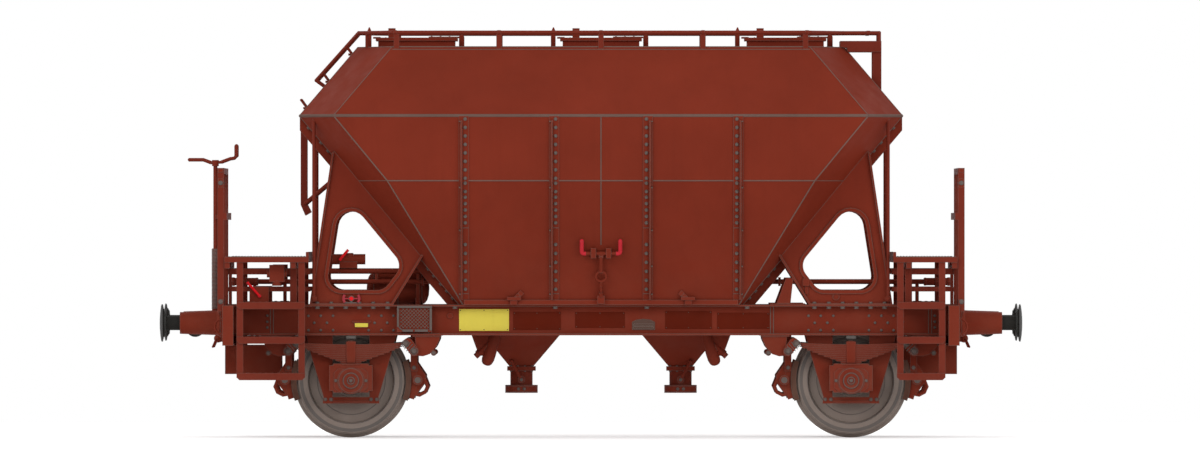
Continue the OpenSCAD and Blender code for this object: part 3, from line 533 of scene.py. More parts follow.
# Corner points of the hopper's and the roof's sheets, in the quarter where u and y are positive
FOOT_CORNER_Y = FOOT_CORNER_X * CORNER_Y / CORNER_X
corner_nz = (
    CORNER_Y * (WAIST_HALF_X - FOOT_HALF_X)
    + CORNER_X * (WAIST_HALF_Y - CORNER_Y - FOOT_HALF_Y + FOOT_CORNER_Y)
) / (FRAME_TOP - WAIST_Z)
bend_x = WAIST_HALF_X - CORNER_X - (BEND_Z - WAIST_Z) * corner_nz / CORNER_Y
waist_end = Vector((WAIST_HALF_X, WAIST_HALF_Y - CORNER_Y, WAIST_Z))
waist_side = Vector((WAIST_HALF_X - CORNER_X, WAIST_HALF_Y, WAIST_Z))
bend_side = Vector((bend_x, WAIST_HALF_Y, BEND_Z))
foot_end = Vector((FOOT_HALF_X, FOOT_HALF_Y - FOOT_CORNER_Y, FRAME_TOP))
foot_side = Vector((FOOT_HALF_X - FOOT_CORNER_X, FOOT_HALF_Y, FRAME_TOP))
bend_end = waist_end.lerp(foot_end, (WAIST_Z - BEND_Z) / (WAIST_Z - FRAME_TOP))
roof_end = Vector((ROOF_HALF_X, ROOF_HALF_Y - CORNER_Y, ROOF_Z))
roof_side = Vector((ROOF_HALF_X - CORNER_X, ROOF_HALF_Y, ROOF_Z))
rise = Vector((0, 0, ROOF_FOOT - WAIST_Z))
MIDDLE_SEAM_FOOT = 1.93
LIP_DROP = 0.026


def hopper_seams():
    """Weld beads along the folds of the sheets, the waist and the roof's edges."""
    shape = Shape()
    thick, middle, thin = 0.0065, 0.006, 0.004
    folds = (
        (waist_end, foot_end, thin),
        (waist_side, bend_side, thick),
        (bend_side, foot_side, thick),
        (bend_side, bend_end, thin),
        (waist_end + rise, roof_end, thin),
        (waist_side + rise, roof_side, thin),
        (roof_end, roof_side, thin),
    )

    def lengthwise(half, y, z, radius):
        shape.bead(at(-half, y, z), at(half, y, z), radius)

    for ex in HALVES:
        for sy in SIDES:
            for a, b, radius in folds:
                shape.bead(at(ex * a.x, sy * a.y, a.z), at(ex * b.x, sy * b.y, b.z), radius)
        u = ex * ROOF_HALF_X
        shape.bead(at(u, -roof_end.y, ROOF_Z), at(u, roof_end.y, ROOF_Z), thin)
    lip_y = ROOF_HALF_Y + LIP_DROP * ROOF_SIDE_SLOPE
    for sy in SIDES:
        lengthwise(bend_side.x, sy * bend_side.y, BEND_Z, thick)
        lengthwise(roof_side.x, sy * ROOF_HALF_Y, ROOF_Z, middle)
        lengthwise(roof_side.x, sy * lip_y, ROOF_Z - LIP_DROP, thin)
        bend = at(0, sy * WAIST_HALF_Y, BEND_Z)
        shape.bead(at(0, sy * WAIST_HALF_Y, WAIST_Z), bend, middle)
        shape.bead(bend, on_side(0, MIDDLE_SEAM_FOOT, sy), middle)
    for z in (WAIST_Z - 0.004, ROOF_FOOT + 0.004):
        loop = []
        for sx, sy in ((1, 1), (-1, 1), (-1, -1), (1, -1)):
            pair = [(sx * waist_end.x, sy * waist_end.y), (sx * waist_side.x, sy * waist_side.y)]
            loop += pair if sx * sy > 0 else pair[::-1]
        for (x0, y0), (x1, y1) in zip(loop, loop[1:] + loop[:1]):
            shape.bead(at(x0, y0, z), at(x1, y1, z), middle)
    place_piece("hopper_seams", shape, seam_paint)


# Rows of rib bolts: top height, pitch and count; then the heights of the clips and the straps
RIB_BOLT_ROWS = ((3.185, 0.0845, 8), (2.549, 0.083, 2), (2.409, 0.0638, 5), (1.937, 0.0894, 6))
RIB_CLIP_ROWS = (3.162, 2.51, 2.083, 1.724, 1.445)
RIB_STRAP_ROWS = (2.103, 1.445)
RIB_BOLT_IN, RIB_CLIP_OUT, RIB_STRAP_IN = 0.015, 0.0395, 0.017


def rib_details():
    """Bolts, clips and straps on the ribs of the sides."""
    bolts, clips = Shape(), Shape()

    def on_rib(u, z, sy):
        return facing(on_side(u, z, sy, RIB_THICK), side_normal(z, sy))

    for ex, sy in QUARTERS:
        for centre in RIB_CENTRES:
            for top, pitch, count in RIB_BOLT_ROWS:
                for i in range(count):
                    z = top - pitch * i
                    place = on_side(ex * (centre - RIB_BOLT_IN), z, sy, RIB_THICK)
                    bolts.hex_bolt(place, side_normal(z, sy), 0.026, 0.013)
            for z in RIB_CLIP_ROWS:
                matrix = on_rib(ex * (centre + RIB_CLIP_OUT), z, sy)
                clips.box((-0.0095, -0.005, -SINK), (0.0095, 0.005, 0.026), 0.002, matrix)
            for z in RIB_STRAP_ROWS:
                matrix = on_rib(ex * (centre - RIB_STRAP_IN), z, sy)
                clips.box((-0.031, -0.003, -SINK), (0.031, 0.003, 0.004), 0.001, matrix)
    place_piece("rib_bolts", bolts, outline_grey)
    place_piece("rib_clips", clips, seam_paint)


END_BOLT_HEIGHTS = (3.104, 3.03, 2.957, 2.874, 2.804, 1.694, 1.624, 1.542, 1.472, 1.401)
END_BOLT_Y = 0.845


def end_bolts():
    shape = Shape()
    for ex in HALVES:
        normal = Vector((ex, 0.0, -END_SLOPE)).normalized()
        for sy in SIDES:
            for z in END_BOLT_HEIGHTS:
                u = ex * (WAIST_HALF_X - (WAIST_Z - z) * END_SLOPE)
                shape.hex_bolt(at(u, sy * END_BOLT_Y, z), normal, 0.034, 0.018)
    place_piece("end_bolts", shape, outline_grey)


# Plates on the sole bars: their ends along the track, foot and top
HAZARD_PLATE = (-1.42, -0.92, 1.068, 1.288)
DATA_PANELS = (
    (-0.88, -0.40, 1.078, 1.260),
    (-0.26, 0.24, 1.098, 1.258),
    (0.64, 1.11, 1.088, 1.268),
    (1.16, 1.685, 1.088, 1.252),
)
MAKER_ARCH = (
    (0.31, 1.078), (0.54, 1.078), (0.54, 1.158), (0.5, 1.18), (0.425, 1.19), (0.35, 1.18), (0.31, 1.158),
)
MAKER_BARS = (1.094, 1.121)


def sign_plates():
    """Blank plates on the sole bars, with their rivets."""
    yellow, dark, plate, pins = Shape(), Shape(), Shape(), Shape()

    def panel(shape, u0, u1, z0, z1, sy, thick):
        shape.side_box(u0, u1, z0, z1, WEB_Y - SINK, WEB_Y + thick, sy, 0.0015)
        for u in (u0 + 0.014, (u0 + u1) / 2, u1 - 0.014):
            for z in (z0 + 0.013, z1 - 0.013):
                pins.rivet(at(u, sy * (WEB_Y + thick), z), (0, sy, 0), 0.0055)

    for sy in SIDES:
        panel(yellow, *HAZARD_PLATE, sy, 0.004)
        for data_panel in DATA_PANELS:
            panel(dark, *data_panel, sy, 0.003)
        plate.side_plate(MAKER_ARCH, WEB_Y - SINK, WEB_Y + 0.006, sy)
        for z in MAKER_BARS:
            plate.side_box(0.326, 0.524, z, z + 0.018, WEB_Y + 0.004, WEB_Y + 0.009, sy, 0.002)
    place_piece("hazard_plates", yellow, yellow_paint)
    place_piece("data_panels", dark, panel_paint)
    place_piece("maker_plates", plate, plate_paint)
    place_piece("sign_rivets", pins, plate_paint)


def small_label():
    holder, label = Shape(), Shape()
    outline = [(-2.474, 1.152), (-2.316, 1.152), (-2.334, 1.100), (-2.456, 1.100)]
    for sy in SIDES:
        holder.side_box(-2.49, -2.30, 1.150, 1.171, WEB_Y - SINK, WEB_Y + 0.016, sy)
        holder.side_plate(outline, WEB_Y - SINK, WEB_Y + 0.008, sy)
        label.side_box(-2.462, -2.330, 1.107, 1.146, WEB_Y + 0.007, WEB_Y + 0.0105, sy, 0.001)
    place_piece("small_label_holders", holder, frame_paint)
    place_piece("small_labels", label, yellow_paint)


# Rivets over each axle: height, and offsets from the axle; then those by the headstocks
RIVET_ROWS = (
    (1.220, (0.427, 0.304, 0.180, -0.176, -0.303, -0.425)),
    (1.150, (0.368, 0.241, -0.236, -0.362)),
    (1.075, (0.427, 0.304, 0.180, -0.176, -0.303, -0.425)),
)
HEAD_RIVETS_U, HEAD_RIVETS_Z = (3.017, 3.338), (1.221, 1.161, 1.103)
FLANGE_BOLTS = (0.336, 0.197, 0.053, -0.084, -0.222, -0.366)
SILL_BOLTS = (0.458, 1.460)
BOLT_Y, NUT_Y = 1.022, 1.028
FLANGE_THICK = 0.016
WEB_JOINTS = (1.695, 1.725, 3.277, 3.307)


def frame_details():
    rivets, bolts, joints = Shape(), Shape(), Shape()
    foot, top = SOLE_FOOT + FLANGE_THICK, FRAME_TOP - FLANGE_THICK
    spots = [(AXLE_U + du, z) for z, places in RIVET_ROWS for du in places]
    spots += product(HEAD_RIVETS_U, HEAD_RIVETS_Z)
    for ex, sy in QUARTERS:
        for u, z in spots:
            rivets.rivet(at(ex * u, sy * WEB_Y, z), (0, sy, 0), 0.0145)
        for du in FLANGE_BOLTS:
            u = ex * (AXLE_U + du)
            bolts.hex_bolt(at(u, sy * BOLT_Y, top), (0, 0, -1), 0.040, 0.022)
            bolts.hex_bolt(at(u, sy * NUT_Y, FRAME_TOP + 0.014), (0, 0, 1), 0.032, 0.014)
        for u in SILL_BOLTS:
            bolts.hex_bolt(at(ex * u, sy * BOLT_Y, top), (0, 0, -1), 0.040, 0.022)
        for u in WEB_JOINTS:
            joints.bead(at(ex * u, sy * WEB_Y, foot), at(ex * u, sy * WEB_Y, top), 0.005)
    place_piece("frame_rivets", rivets, outline_grey)
    place_piece("flange_bolts", bolts, outline_grey)
    place_piece("frame_joints", joints, seam_paint)


COVER_Y, CAP_Y, GUARD_Y = 1.097, 1.127, 0.945
# Rims on the axle box: radius and how far out
BOX_RIMS = ((0.125, 1.1035), (0.080, 1.118), (0.038, 1.127))


def axle_box_details():
    """Cover, rims and bolts of each axle box, and the tie bar under its guard."""
    faces, rims, bolts = Shape(), Shape(), Shape()
    half, low, high, cut = 0.172, AXLE_Z - 0.112, AXLE_Z + 0.122, 0.042
    for ex, sy in QUARTERS:
        out = (0, sy, 0)
        u = ex * AXLE_U
        faces.side_plate([
            (u - half + cut, low), (u + half - cut, low), (u + half, low + cut), (u + half, high - cut),
            (u + half - cut, high), (u - half + cut, high), (u - half, high - cut), (u - half, low + cut),
        ], 1.089, COVER_Y, sy, 0.004)
        faces.side_box(u - 0.09, u + 0.09, 0.729, 0.7425, 1.052, 1.098, sy)
        faces.ring(at(u, sy * COVER_Y, AXLE_Z), out, 0.116, 0.134, 0.006)
        for radius, y in BOX_RIMS:
            rims.hoop(at(u, sy * (y - SINK), AXLE_Z), out, radius - 0.004, 0.0045)
        bolts.rivet(at(u, sy * CAP_Y, AXLE_Z), out, 0.02)
        for s in HALVES:
            bolts.hex_bolt(at(u + s * 0.151, sy * COVER_Y, AXLE_Z), out, 0.022, 0.01)
            for du in (0.2, 0.257):
                bolts.hex_bolt(at(u + s * du, sy * GUARD_Y, 0.3835), out, 0.026, 0.014)
        faces.side_box(u - 0.185, u + 0.185, 0.350, 0.374, 0.944, 0.953, sy)
    place_piece("axle_box_faces", faces, casting_paint)
    place_piece("axle_box_rims", rims, outline_grey)
    place_piece("axle_box_bolts", bolts, outline_grey)


LEAF_LENGTHS = (0.525, 0.50, 0.49, 0.44, 0.385, 0.33, 0.27, 0.21, 0.155, 0.105)
LEAF_PITCH = 0.0191
LEAF_THICK = 0.0179
LEAF_TOP = 0.934
LEAF_RISE = 0.016
LEAF_REACH = 0.52
LEAF_STATIONS = 14
LEAF_IN, LEAF_OUT = 0.96, 1.04
# Spring eye and foot of the spring link, measured from the axle, and the link's outer face
EYE_DU, EYE_Z = 0.545, 0.941
LINK_DU, LINK_Z = 0.63, 0.866
LINK_Y = 1.058


def leaf_springs():
    """Separate leaves with their eyes, and the buckle round each spring."""
    shape, clasp = Shape(), Shape()
    wide = LEAF_OUT - LEAF_IN
    for ex, sy in QUARTERS:
        middle = ex * AXLE_U
        for i, half in enumerate(LEAF_LENGTHS):
            verts = []
            for k in range(LEAF_STATIONS + 1):
                du = half * (2 * k / LEAF_STATIONS - 1)
                top = LEAF_TOP - i * LEAF_PITCH + LEAF_RISE * (du / LEAF_REACH) ** 2
                tip = 0.35 * LEAF_THICK if k in (0, LEAF_STATIONS) else 0.0
                foot = top - LEAF_THICK + tip
                for y, z in ((LEAF_IN, top), (LEAF_OUT, top), (LEAF_OUT, foot), (LEAF_IN, foot)):
                    verts.append(at(middle + du, sy * y, z))
            shape.rings(verts, 4)
        for s in HALVES:
            eye = facing(at(middle + s * EYE_DU, sy * LEAF_IN, EYE_Z), (0, sy, 0))
            shape.lathe([(0.0155, 0.0), (0.0155, wide), (0.029, wide), (0.029, 0.0)], eye, 24, True)
        clasp.side_box(middle - 0.05, middle + 0.05, 0.7435, 0.965, 0.949, 1.051, sy, 0.008)
        clasp.side_box(middle - 0.03, middle + 0.03, 0.9645, 0.971, 0.97, 1.03, sy)
    leaves = place_piece("spring_leaves", shape, spring_paint)
    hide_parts("leaf_springs")
    place_piece("spring_buckles", clasp, frame_paint)


def suspension_details():
    """Bolts and bands of the spring links, bolts of the hangers, and the bump stops."""
    bolts, stops = Shape(), Shape()
    for ex, sy in QUARTERS:
        out = (0, sy, 0)
        middle = ex * AXLE_U
        for s in HALVES:
            for du, z in ((EYE_DU, EYE_Z), (LINK_DU, LINK_Z)):
                place = at(middle + s * du, sy * LINK_Y, z)
                bolts.hex_bolt(place, out, 0.040, 0.018)
                bolts.hoop(place, out, 0.036, 0.004, 28)
            for step in (0.25, 0.5, 0.75):
                du = EYE_DU + (LINK_DU - EYE_DU) * step
                z = EYE_Z + (LINK_Z - EYE_Z) * step
                a = at(middle + s * (du - 0.032), sy * LINK_Y, z - 0.036)
                b = at(middle + s * (du + 0.032), sy * LINK_Y, z + 0.036)
                bolts.bead(a, b, 0.004)
            bolts.disc(at(middle + s * 0.665, sy * 0.849, 0.575), out, 0.033, 0.006)
            bolts.hex_bolt(at(middle + s * 0.628, sy * 0.818, 0.70), out, 0.026, 0.012)
            bolts.hex_bolt(at(middle + s * 0.827, sy * 1.032, 0.848), out, 0.030, 0.014)
        stops.side_box(middle - 0.05, middle + 0.05, 0.988, SOLE_FOOT, 0.965, 1.04, sy, 0.008)
    place_piece("suspension_bolts", bolts, outline_grey)
    place_piece("bump_stops", stops, rubber)


def wheel_bands():
    """Bands on the wheels' outer faces, which turn with their wheelset."""
    for ex, body in WHEELSETS:
        shape = Shape()
        for sy in SIDES:
            place, out = at(ex * AXLE_U, sy * WHEEL_FACE, AXLE_Z), (0, sy, 0)
            shape.ring(place, out, 0.482, 0.514, 0.002, 0.0012, 96)
            shape.hoop(place, out, 0.433, 0.0035, 96, 6)
            shape.hoop(at(ex * AXLE_U, sy * (WHEEL_FACE - 0.039), AXLE_Z), out, 0.340, 0.004, 96, 6)
        name = "wheel_bands_" + body.removeprefix("wheelset_")
        place_piece(name, shape, band_steel, body)


# Collars behind the buffer head: distance from the headstock and radius
BUFFER_COLLARS = ((0.572, 0.118), (0.579, 0.128), (0.586, 0.142))


def buffer_details():
    bolts, collars = Shape(), Shape()
    for ex, reach in ENDS:
        out = (ex, 0, 0)
        for sy in SIDES:
            for dy, dz in product((-0.135, 0.135), (-0.11, 0.11)):
                place = at(ex * (reach + 0.022), sy * BUFFER_Y + dy, BUFFER_Z + dz)
                bolts.hex_bolt(place, out, 0.036, 0.02)
            for along, radius in BUFFER_COLLARS:
                place = at(ex * (reach + along), sy * BUFFER_Y, BUFFER_Z)
                collars.ring(place, out, 0.08, radius, 0.004, 0.0015)
    place_piece("buffer_bolts", bolts, frame_paint)
    place_piece("buffer_collars", collars, black_paint)


SPINDLE_Y = -0.42
SPINDLE_OUT = 0.085


def spindle_thread():
    shape = Shape()
    turns, steps, low, high, radius = 44, 16, 1.285, 1.885, 0.0345
    middle = -(BRAKE_REACH + SPINDLE_OUT)
    points = []
    for i in range(turns * steps + 1):
        a = 2 * math.pi * i / steps
        z = low + (high - low) * i / (turns * steps)
        points.append(at(middle + radius * math.cos(a), SPINDLE_Y + radius * math.sin(a), z))
    shape.tube(points, 0.005, 6)
    place_piece("spindle_thread", shape, thread_steel)


# Rim strips of the waybill board: ends, foot, top and how far they stand out; then the mesh's field
HOLDER_RIMS = (
    (-2.04, -1.69, 1.298, 1.322, 0.008),
    (-1.714, -1.69, 1.072, 1.297, 0.008),
    (-2.04, -2.02, 1.11, 1.297, 0.006),
    (-1.985, -1.88, 1.06, 1.084, 0.008),
    (-1.862, -1.73, 1.06, 1.084, 0.008),
)
HOLDER_MESH = (-2.005, -1.722, 1.095, 1.292)
MESH_PITCH = 0.036


def label_holders():
    """The rim and the wire mesh on the waybill board."""
    rim, wires = Shape(), Shape()
    left, right, foot, top = HOLDER_MESH
    wide, tall = right - left, top - foot
    for sy in SIDES:
        for u0, u1, z0, z1, proud in HOLDER_RIMS:
            rim.side_box(u0, u1, z0, z1, HOLDER_Y - SINK, HOLDER_Y + proud, sy)
        rim.bead(at(-2.03, sy * HOLDER_Y, 1.115), at(-1.985, sy * HOLDER_Y, 1.075), 0.006)
        y = sy * (HOLDER_Y - 0.006)
        for slope in (-1, 1):
            for i in range(1, int((wide + tall) / MESH_PITCH) + 1):
                reach = i * MESH_PITCH
                a = (max(0.0, reach - tall), min(reach, tall))
                b = (min(reach, wide), max(0.0, reach - wide))
                ends = [(left + p, foot + q if slope < 0 else top - q) for p, q in (a, b)]
                wires.tube([at(u, y, z) for u, z in ends], 0.0035, 8)
    place_piece("label_holder_rims", rim, outline_grey)
    place_piece("label_mesh", wires, seam_paint)


LATCH_U, LATCH_Y, LATCH_Z = 0.8206, 1.072, 1.4256
FLANGE_Y = 1.045
BOARD_RIMS = (
    (-2.04, -1.69, 1.3, 1.322),
    (-2.04, -1.69, 1.058, 1.085),
    (-2.04, -2.015, 1.085, 1.3),
    (-1.715, -1.69, 1.085, 1.3),
)
POST_OUTLINE = ((1.755, 1.344), (1.895, 1.344), (1.922, 1.598), (1.849, 1.598))


def side_fittings():
    """The waybill board, the leaning post and the lock brackets with their tilted latches."""
    board, brackets = Shape(), Shape()
    for sy in SIDES:
        board.side_box(-2.04, -1.69, 1.058, 1.322, FLANGE_Y, 1.049, sy, 0.001)
        for strip in BOARD_RIMS:
            board.side_box(*strip, 1.0485, HOLDER_Y, sy, 0.001)
        brackets.side_box(1.69, 2.04, FRAME_TOP, 1.345, 1.0, 1.04, sy)
        brackets.side_plate(POST_OUTLINE, 1.0, 1.04, sy, 0.004)
        for ex in HALVES:
            brackets.side_box(ex * 0.801, ex * 0.941, 1.374, 1.41, 1.054, 1.108, sy)
            brackets.side_box(ex * 0.837, ex * 0.908, FRAME_TOP, 1.376, FLANGE_Y, 1.1, sy)
            tilt = Matrix.Rotation(math.radians(45 if ex == sy else 135), 4, "Z")
            matrix = facing(at(ex * LATCH_U, sy * LATCH_Y, LATCH_Z), (0, sy, 0)) @ tilt
            brackets.box((-0.0465, -0.0245, 0.0), (0.045, 0.0245, 0.028), 0.003, matrix)
            brackets.box((0.0065, -0.0265, -0.003), (0.0475, 0.0265, 0.031), 0.003, matrix)
    boards = place_piece("label_boards", board, fitting_paint)
    lugs = place_piece("lock_brackets", brackets, fitting_paint)
    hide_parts("side_fittings")
    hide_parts("side_fittings")


CHANGEOVER_U, CHANGEOVER_Y, CHANGEOVER_Z = -2.496, 1.034, 1.392
CHANGEOVER_HALF = 0.078


def changeover_knobs():
    """The red double handle in the notch of the support plate."""
    blades, knobs, seats = Shape(), Shape(), Shape()
    u0, z0, half = CHANGEOVER_U, CHANGEOVER_Z, CHANGEOVER_HALF
    foot = FRAME_TOP + 0.013
    for sy in SIDES:
        out = (0, sy, 0)
        y = sy * CHANGEOVER_Y
        for s in HALVES:
            points = []
            for k in range(9):
                a = math.radians(-32 + 8 * k)
                points.append(at(u0 + s * half * math.cos(a), y, z0 + 0.072 * math.sin(a)))
            blades.tube(points, 0.014, 12)
        blades.tube([at(u0 - half, y, z0), at(u0 + half, y, z0)], 0.007, 10)
        knobs.disc(at(u0, y, z0), out, 0.021, 0.02, 0.005)
        seats.disc(at(u0, sy * (PLATE_Y - SINK), z0), out, 0.030, 0.034, 0.004)
        seats.tube([at(u0, y, z0), at(u0, y, foot)], 0.010, 12)
        seats.side_box(u0 - 0.055, u0 + 0.055, foot, FRAME_TOP + 0.026, 0.99, 1.044, sy)
    place_piece("changeover_handles", blades, dull_red_paint)
    place_piece("changeover_knobs", knobs, red_paint)
    place_piece("changeover_seats", seats, outline_grey)


GRIP_RADIUS = 0.0205
GRIP_BEND = 0.0223
GRIP_WAY = Vector((0.0, 0.3525, 0.9358))
GRIP_TOP = 1.968
GRIP_DOME = ((GRIP_RADIUS, -0.002), (GRIP_RADIUS, 0.0), (0.0178, 0.0102), (0.0102, 0.0178), (0.003, 0.0202))
SHAFT_END, SHAFT_Y, SHAFT_Z = 0.17, 1.275, 1.843
# Pin and tip of the handles at the brake end, and the lever over the frame
PIN_U, PIN_Z = -3.415, 1.418
TIP_U, TIP_Z = -3.53, 1.548
LEVER_Y = -0.756


def lever_grips():
    """Red grips bent up from the ends of the discharge shaft, and the red handles at the brake end."""
    shape = Shape()
    for sy in SIDES:
        out = (0, sy, 0)
        way = Vector((0.0, sy * GRIP_WAY.y, GRIP_WAY.z))
        for ex in HALVES:
            points = [at(ex * (SHAFT_END - 0.02), sy * SHAFT_Y, SHAFT_Z)]
            for k in range(7):
                a = math.radians(15 * k)
                bend = at(ex * (SHAFT_END + GRIP_BEND * math.sin(a)), sy * SHAFT_Y, SHAFT_Z)
                points.append(bend + way * (GRIP_BEND * (1 - math.cos(a))))
            top = points[-1] + way * ((GRIP_TOP - points[-1].z) / way.z)
            shape.tube(points + [top], GRIP_RADIUS, 20)
            shape.lathe(GRIP_DOME, facing(top, way), 20)
        shape.disc(at(PIN_U, sy * 1.04, PIN_Z), out, 0.018, 0.018)
        shape.tube([at(PIN_U, sy * 1.056, PIN_Z), at(TIP_U, sy * 1.056, TIP_Z)], 0.013, 16)
        shape.disc(at(TIP_U, sy * 1.047, TIP_Z), out, 0.015, 0.018, 0.004)
    shape.tube([at(-2.62, LEVER_Y, 1.775), at(-2.53, LEVER_Y, 1.88)], 0.014, 16)
    piece = place_piece("lever_grips", shape, red_paint)
    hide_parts("red_levers")


# Sleeves of the crank: radius and line
CRANK_ARMS = (
    (0.0185, ((-4.135, 2.782), (-3.987, 2.782), (-3.907, 2.752))),
    (0.0185, ((-3.807, 2.758), (-3.717, 2.792), (-3.677, 2.798), (-3.655, 2.822))),
    (0.0225, ((-3.655, 2.815), (-3.655, 2.925))),
)


def crank_sleeves():
    """The sleeves on both arms of the hand brake crank and on its handle."""
    shape = Shape()
    for radius, line in CRANK_ARMS:
        shape.tube([at(u, SPINDLE_Y, z) for u, z in line], radius, 18)
    place_piece("crank_sleeves", shape, rail_paint)


def plate_fittings():
    """Bosses, rings and catches on the sole bars and the support plates."""
    shape = Shape()
    for sy in SIDES:
        out = (0, sy, 0)
        shape.disc(at(-1.51, sy * (WEB_Y - SINK), 1.22), out, 0.030, 0.014, 0.004)
        shape.side_box(2.013, 2.085, 1.516, 1.594, PLATE_Y - SINK, 1.036, sy, 0.006)
        shape.side_box(2.036, 2.074, 1.430, 1.517, PLATE_Y - SINK, 1.018, sy)
        shape.ring(at(2.35, sy * PLATE_Y, 1.41), out, 0.028, 0.039, 0.012)
        shape.disc(at(2.35, sy * (PLATE_Y - SINK), 1.41), out, 0.029, 0.007)
        for ex in HALVES:
            shape.ring(at(ex * 2.87, sy * 1.0795, 1.39), out, 0.012, 0.030, 0.008)
    place_piece("plate_fittings", shape, fitting_paint)


GRATING_Y = (-1.266, -0.63, 0.63, 1.266)


def platform_teeth():
    shape = Shape()
    pitch, high, thick = 0.03, 0.009, 0.006
    first = PLATFORM_IN + 0.035
    for ex, reach in ENDS:
        count = int((reach - 0.02 - first) / pitch)
        for y in GRATING_Y:
            for i in range(count):
                u = ex * (first + pitch * i)
                points = [(u, -SINK), (u + ex * pitch * 0.8, -SINK), (u + ex * pitch * 0.4, high)]
                verts = []
                for dy in (-thick / 2, thick / 2):
                    verts += [at(a, y + dy, PLATFORM_TOP + b) for a, b in points]
                shape.rings(verts, 3)
    place_piece("platform_teeth", shape, outline_grey)


STUD_PITCH = 0.06
STUD_ROWS = (1.10, 1.15, 1.20)
STUD = ((0.014, -SINK), (0.013, 0.003), (0.008, 0.004))


def step_studs():
    shape = Shape()
    first = PLATFORM_IN + 0.037
    for ex, reach in ENDS:
        count = int((reach - 0.142 - first - 0.04) / STUD_PITCH)
        for sy, top in product(SIDES, STEP_TOPS):
            for i in range(count + 1):
                for y in STUD_ROWS:
                    place = at(ex * (first + 0.03 + STUD_PITCH * i), sy * y, top)
                    shape.lathe(STUD, facing(place, (0, 0, 1)), 10)
    place_piece("step_studs", shape, rail_paint)


POST_PLATES = ((2.652, 2.694), (2.502, 2.594), (1.335, 1.388))
POST_BOLTS = (2.548, 1.362)


def post_plates():
    shape, bolts = Shape(), Shape()
    for ex, reach in ENDS:
        low, high = ex * (reach - 0.008), ex * (reach + 0.044)
        for sy, y in product(SIDES, POST_Y):
            face = y + 0.03
            for z0, z1 in POST_PLATES:
                shape.side_box(low, high, z0, z1, face - SINK, face + 0.004, sy, 0.0015)
            for z in POST_BOLTS:
                bolts.hex_bolt(at(ex * (reach + 0.018), sy * (face + 0.004), z), (0, sy, 0), 0.034, 0.014)
    place_piece("post_plates", shape, frame_paint)
    place_piece("post_bolts", bolts, outline_grey)


LID_TOP = 4.02
# Grips and beads across a lid: offset along the track, half length, height, radius and segments
LID_BARS = (
    (-0.24, 0.062, 4.098, 0.008, 10),
    (-0.262, 0.062, 4.098, 0.008, 10),
    (-0.39, 0.3, 4.009, 0.005, 8),
    (-0.31, 0.3, 4.009, 0.005, 8),
)


def hatch_details():
    """Hinge bolts, grips and beads on each lid, which swing with it."""
    for number, centre in enumerate(HATCH_CENTRES, 1):
        shape = Shape()
        for y, du in product((-0.215, 0.215), (0.15, 0.24, 0.33)):
            shape.hex_bolt(at(centre + du, y, LID_TOP), (0, 0, 1), 0.016, 0.005, False)
        for du, half, z, radius, segments in LID_BARS:
            shape.tube([at(centre + du, -half, z), at(centre + du, half, z)], radius, segments)
        place_piece("hatch_bolts_%d" % number, shape, roof_paint, "hatch_%d" % number)


TANK_Y, TANK_Z = -0.45, 1.494
TANK_HOOPS = (-2.276, -1.794, -2.035)


def reservoir_details():
    shape = Shape()
    for u in TANK_HOOPS:
        shape.hoop(at(u, TANK_Y, TANK_Z), (1, 0, 0), 0.1625, 0.004, 40, 6)
    shape.hex_bolt(at(-2.05, TANK_Y, 1.332), (0, 0, -1), 0.034, 0.02)
    place_piece("reservoir_details", shape, seam_paint)


PIPE_Y, PIPE_Z = -0.69, 1.561
# Couplings of the air pipe: distance from the headstock, radius and width
COUPLINGS = ((0.1, 0.05, 0.03), (0.225, 0.05, 0.028), (0.335, 0.046, 0.026))


def pipe_couplings():
    shape = Shape()
    for ex, reach in ENDS:
        for along, radius, wide in COUPLINGS:
            place = at(ex * (reach - along), PIPE_Y, PIPE_Z)
            shape.sleeve(place, (ex, 0, 0), radius, wide / 2, 0.006, 0.004, 6)
    place_piece("pipe_couplings", shape, fitting_paint)


OUTLET_BOLTS = (-0.105, -0.035, 0.035, 0.105)
OUTLET_RING = 0.162


def outlet_bolts():
    """Bolts of the outlet flanges, and the beads round the coupling ring."""
    shape = Shape()
    for ex in HALVES:
        middle = ex * OUTLET_U
        for sy in SIDES:
            for du in OUTLET_BOLTS:
                for z, up in ((0.708, 1), (0.665, -1)):
                    shape.hex_bolt(at(middle + du, sy * 0.131, z), (0, 0, up), 0.019, 0.012, False)
            for angle in (-10, 10):
                a = math.radians(angle)
                out = (math.sin(a), sy * math.cos(a), 0.0)
                place = at(middle + OUTLET_RING * math.sin(a), sy * OUTLET_RING * math.cos(a), 0.482)
                shape.hex_bolt(place, out, 0.024, 0.014)
            shape.hex_bolt(at(middle, sy * 0.235, 0.575), (0, sy, 0), 0.026, 0.012)
        for z in (0.452, 0.511):
            shape.hoop(at(middle, 0.0, z), (0, 0, 1), 0.1605, 0.004, 48, 6)
    place_piece("outlet_bolts", shape, outline_grey)


INLET_Y = 0.64
INLET_PROFILE = (
    (0.014, -0.058), (0.036, -0.050), (0.052, -0.032), (0.060, 0.0),
    (0.060, 0.06), (0.056, 0.15), (0.050, 0.24), (0.0448, 0.30),
)
INLET_BRACKET = ((1.0, 1.03), (1.299, 1.03), (1.24, 0.868), (1.16, 0.79), (1.08, 0.9))


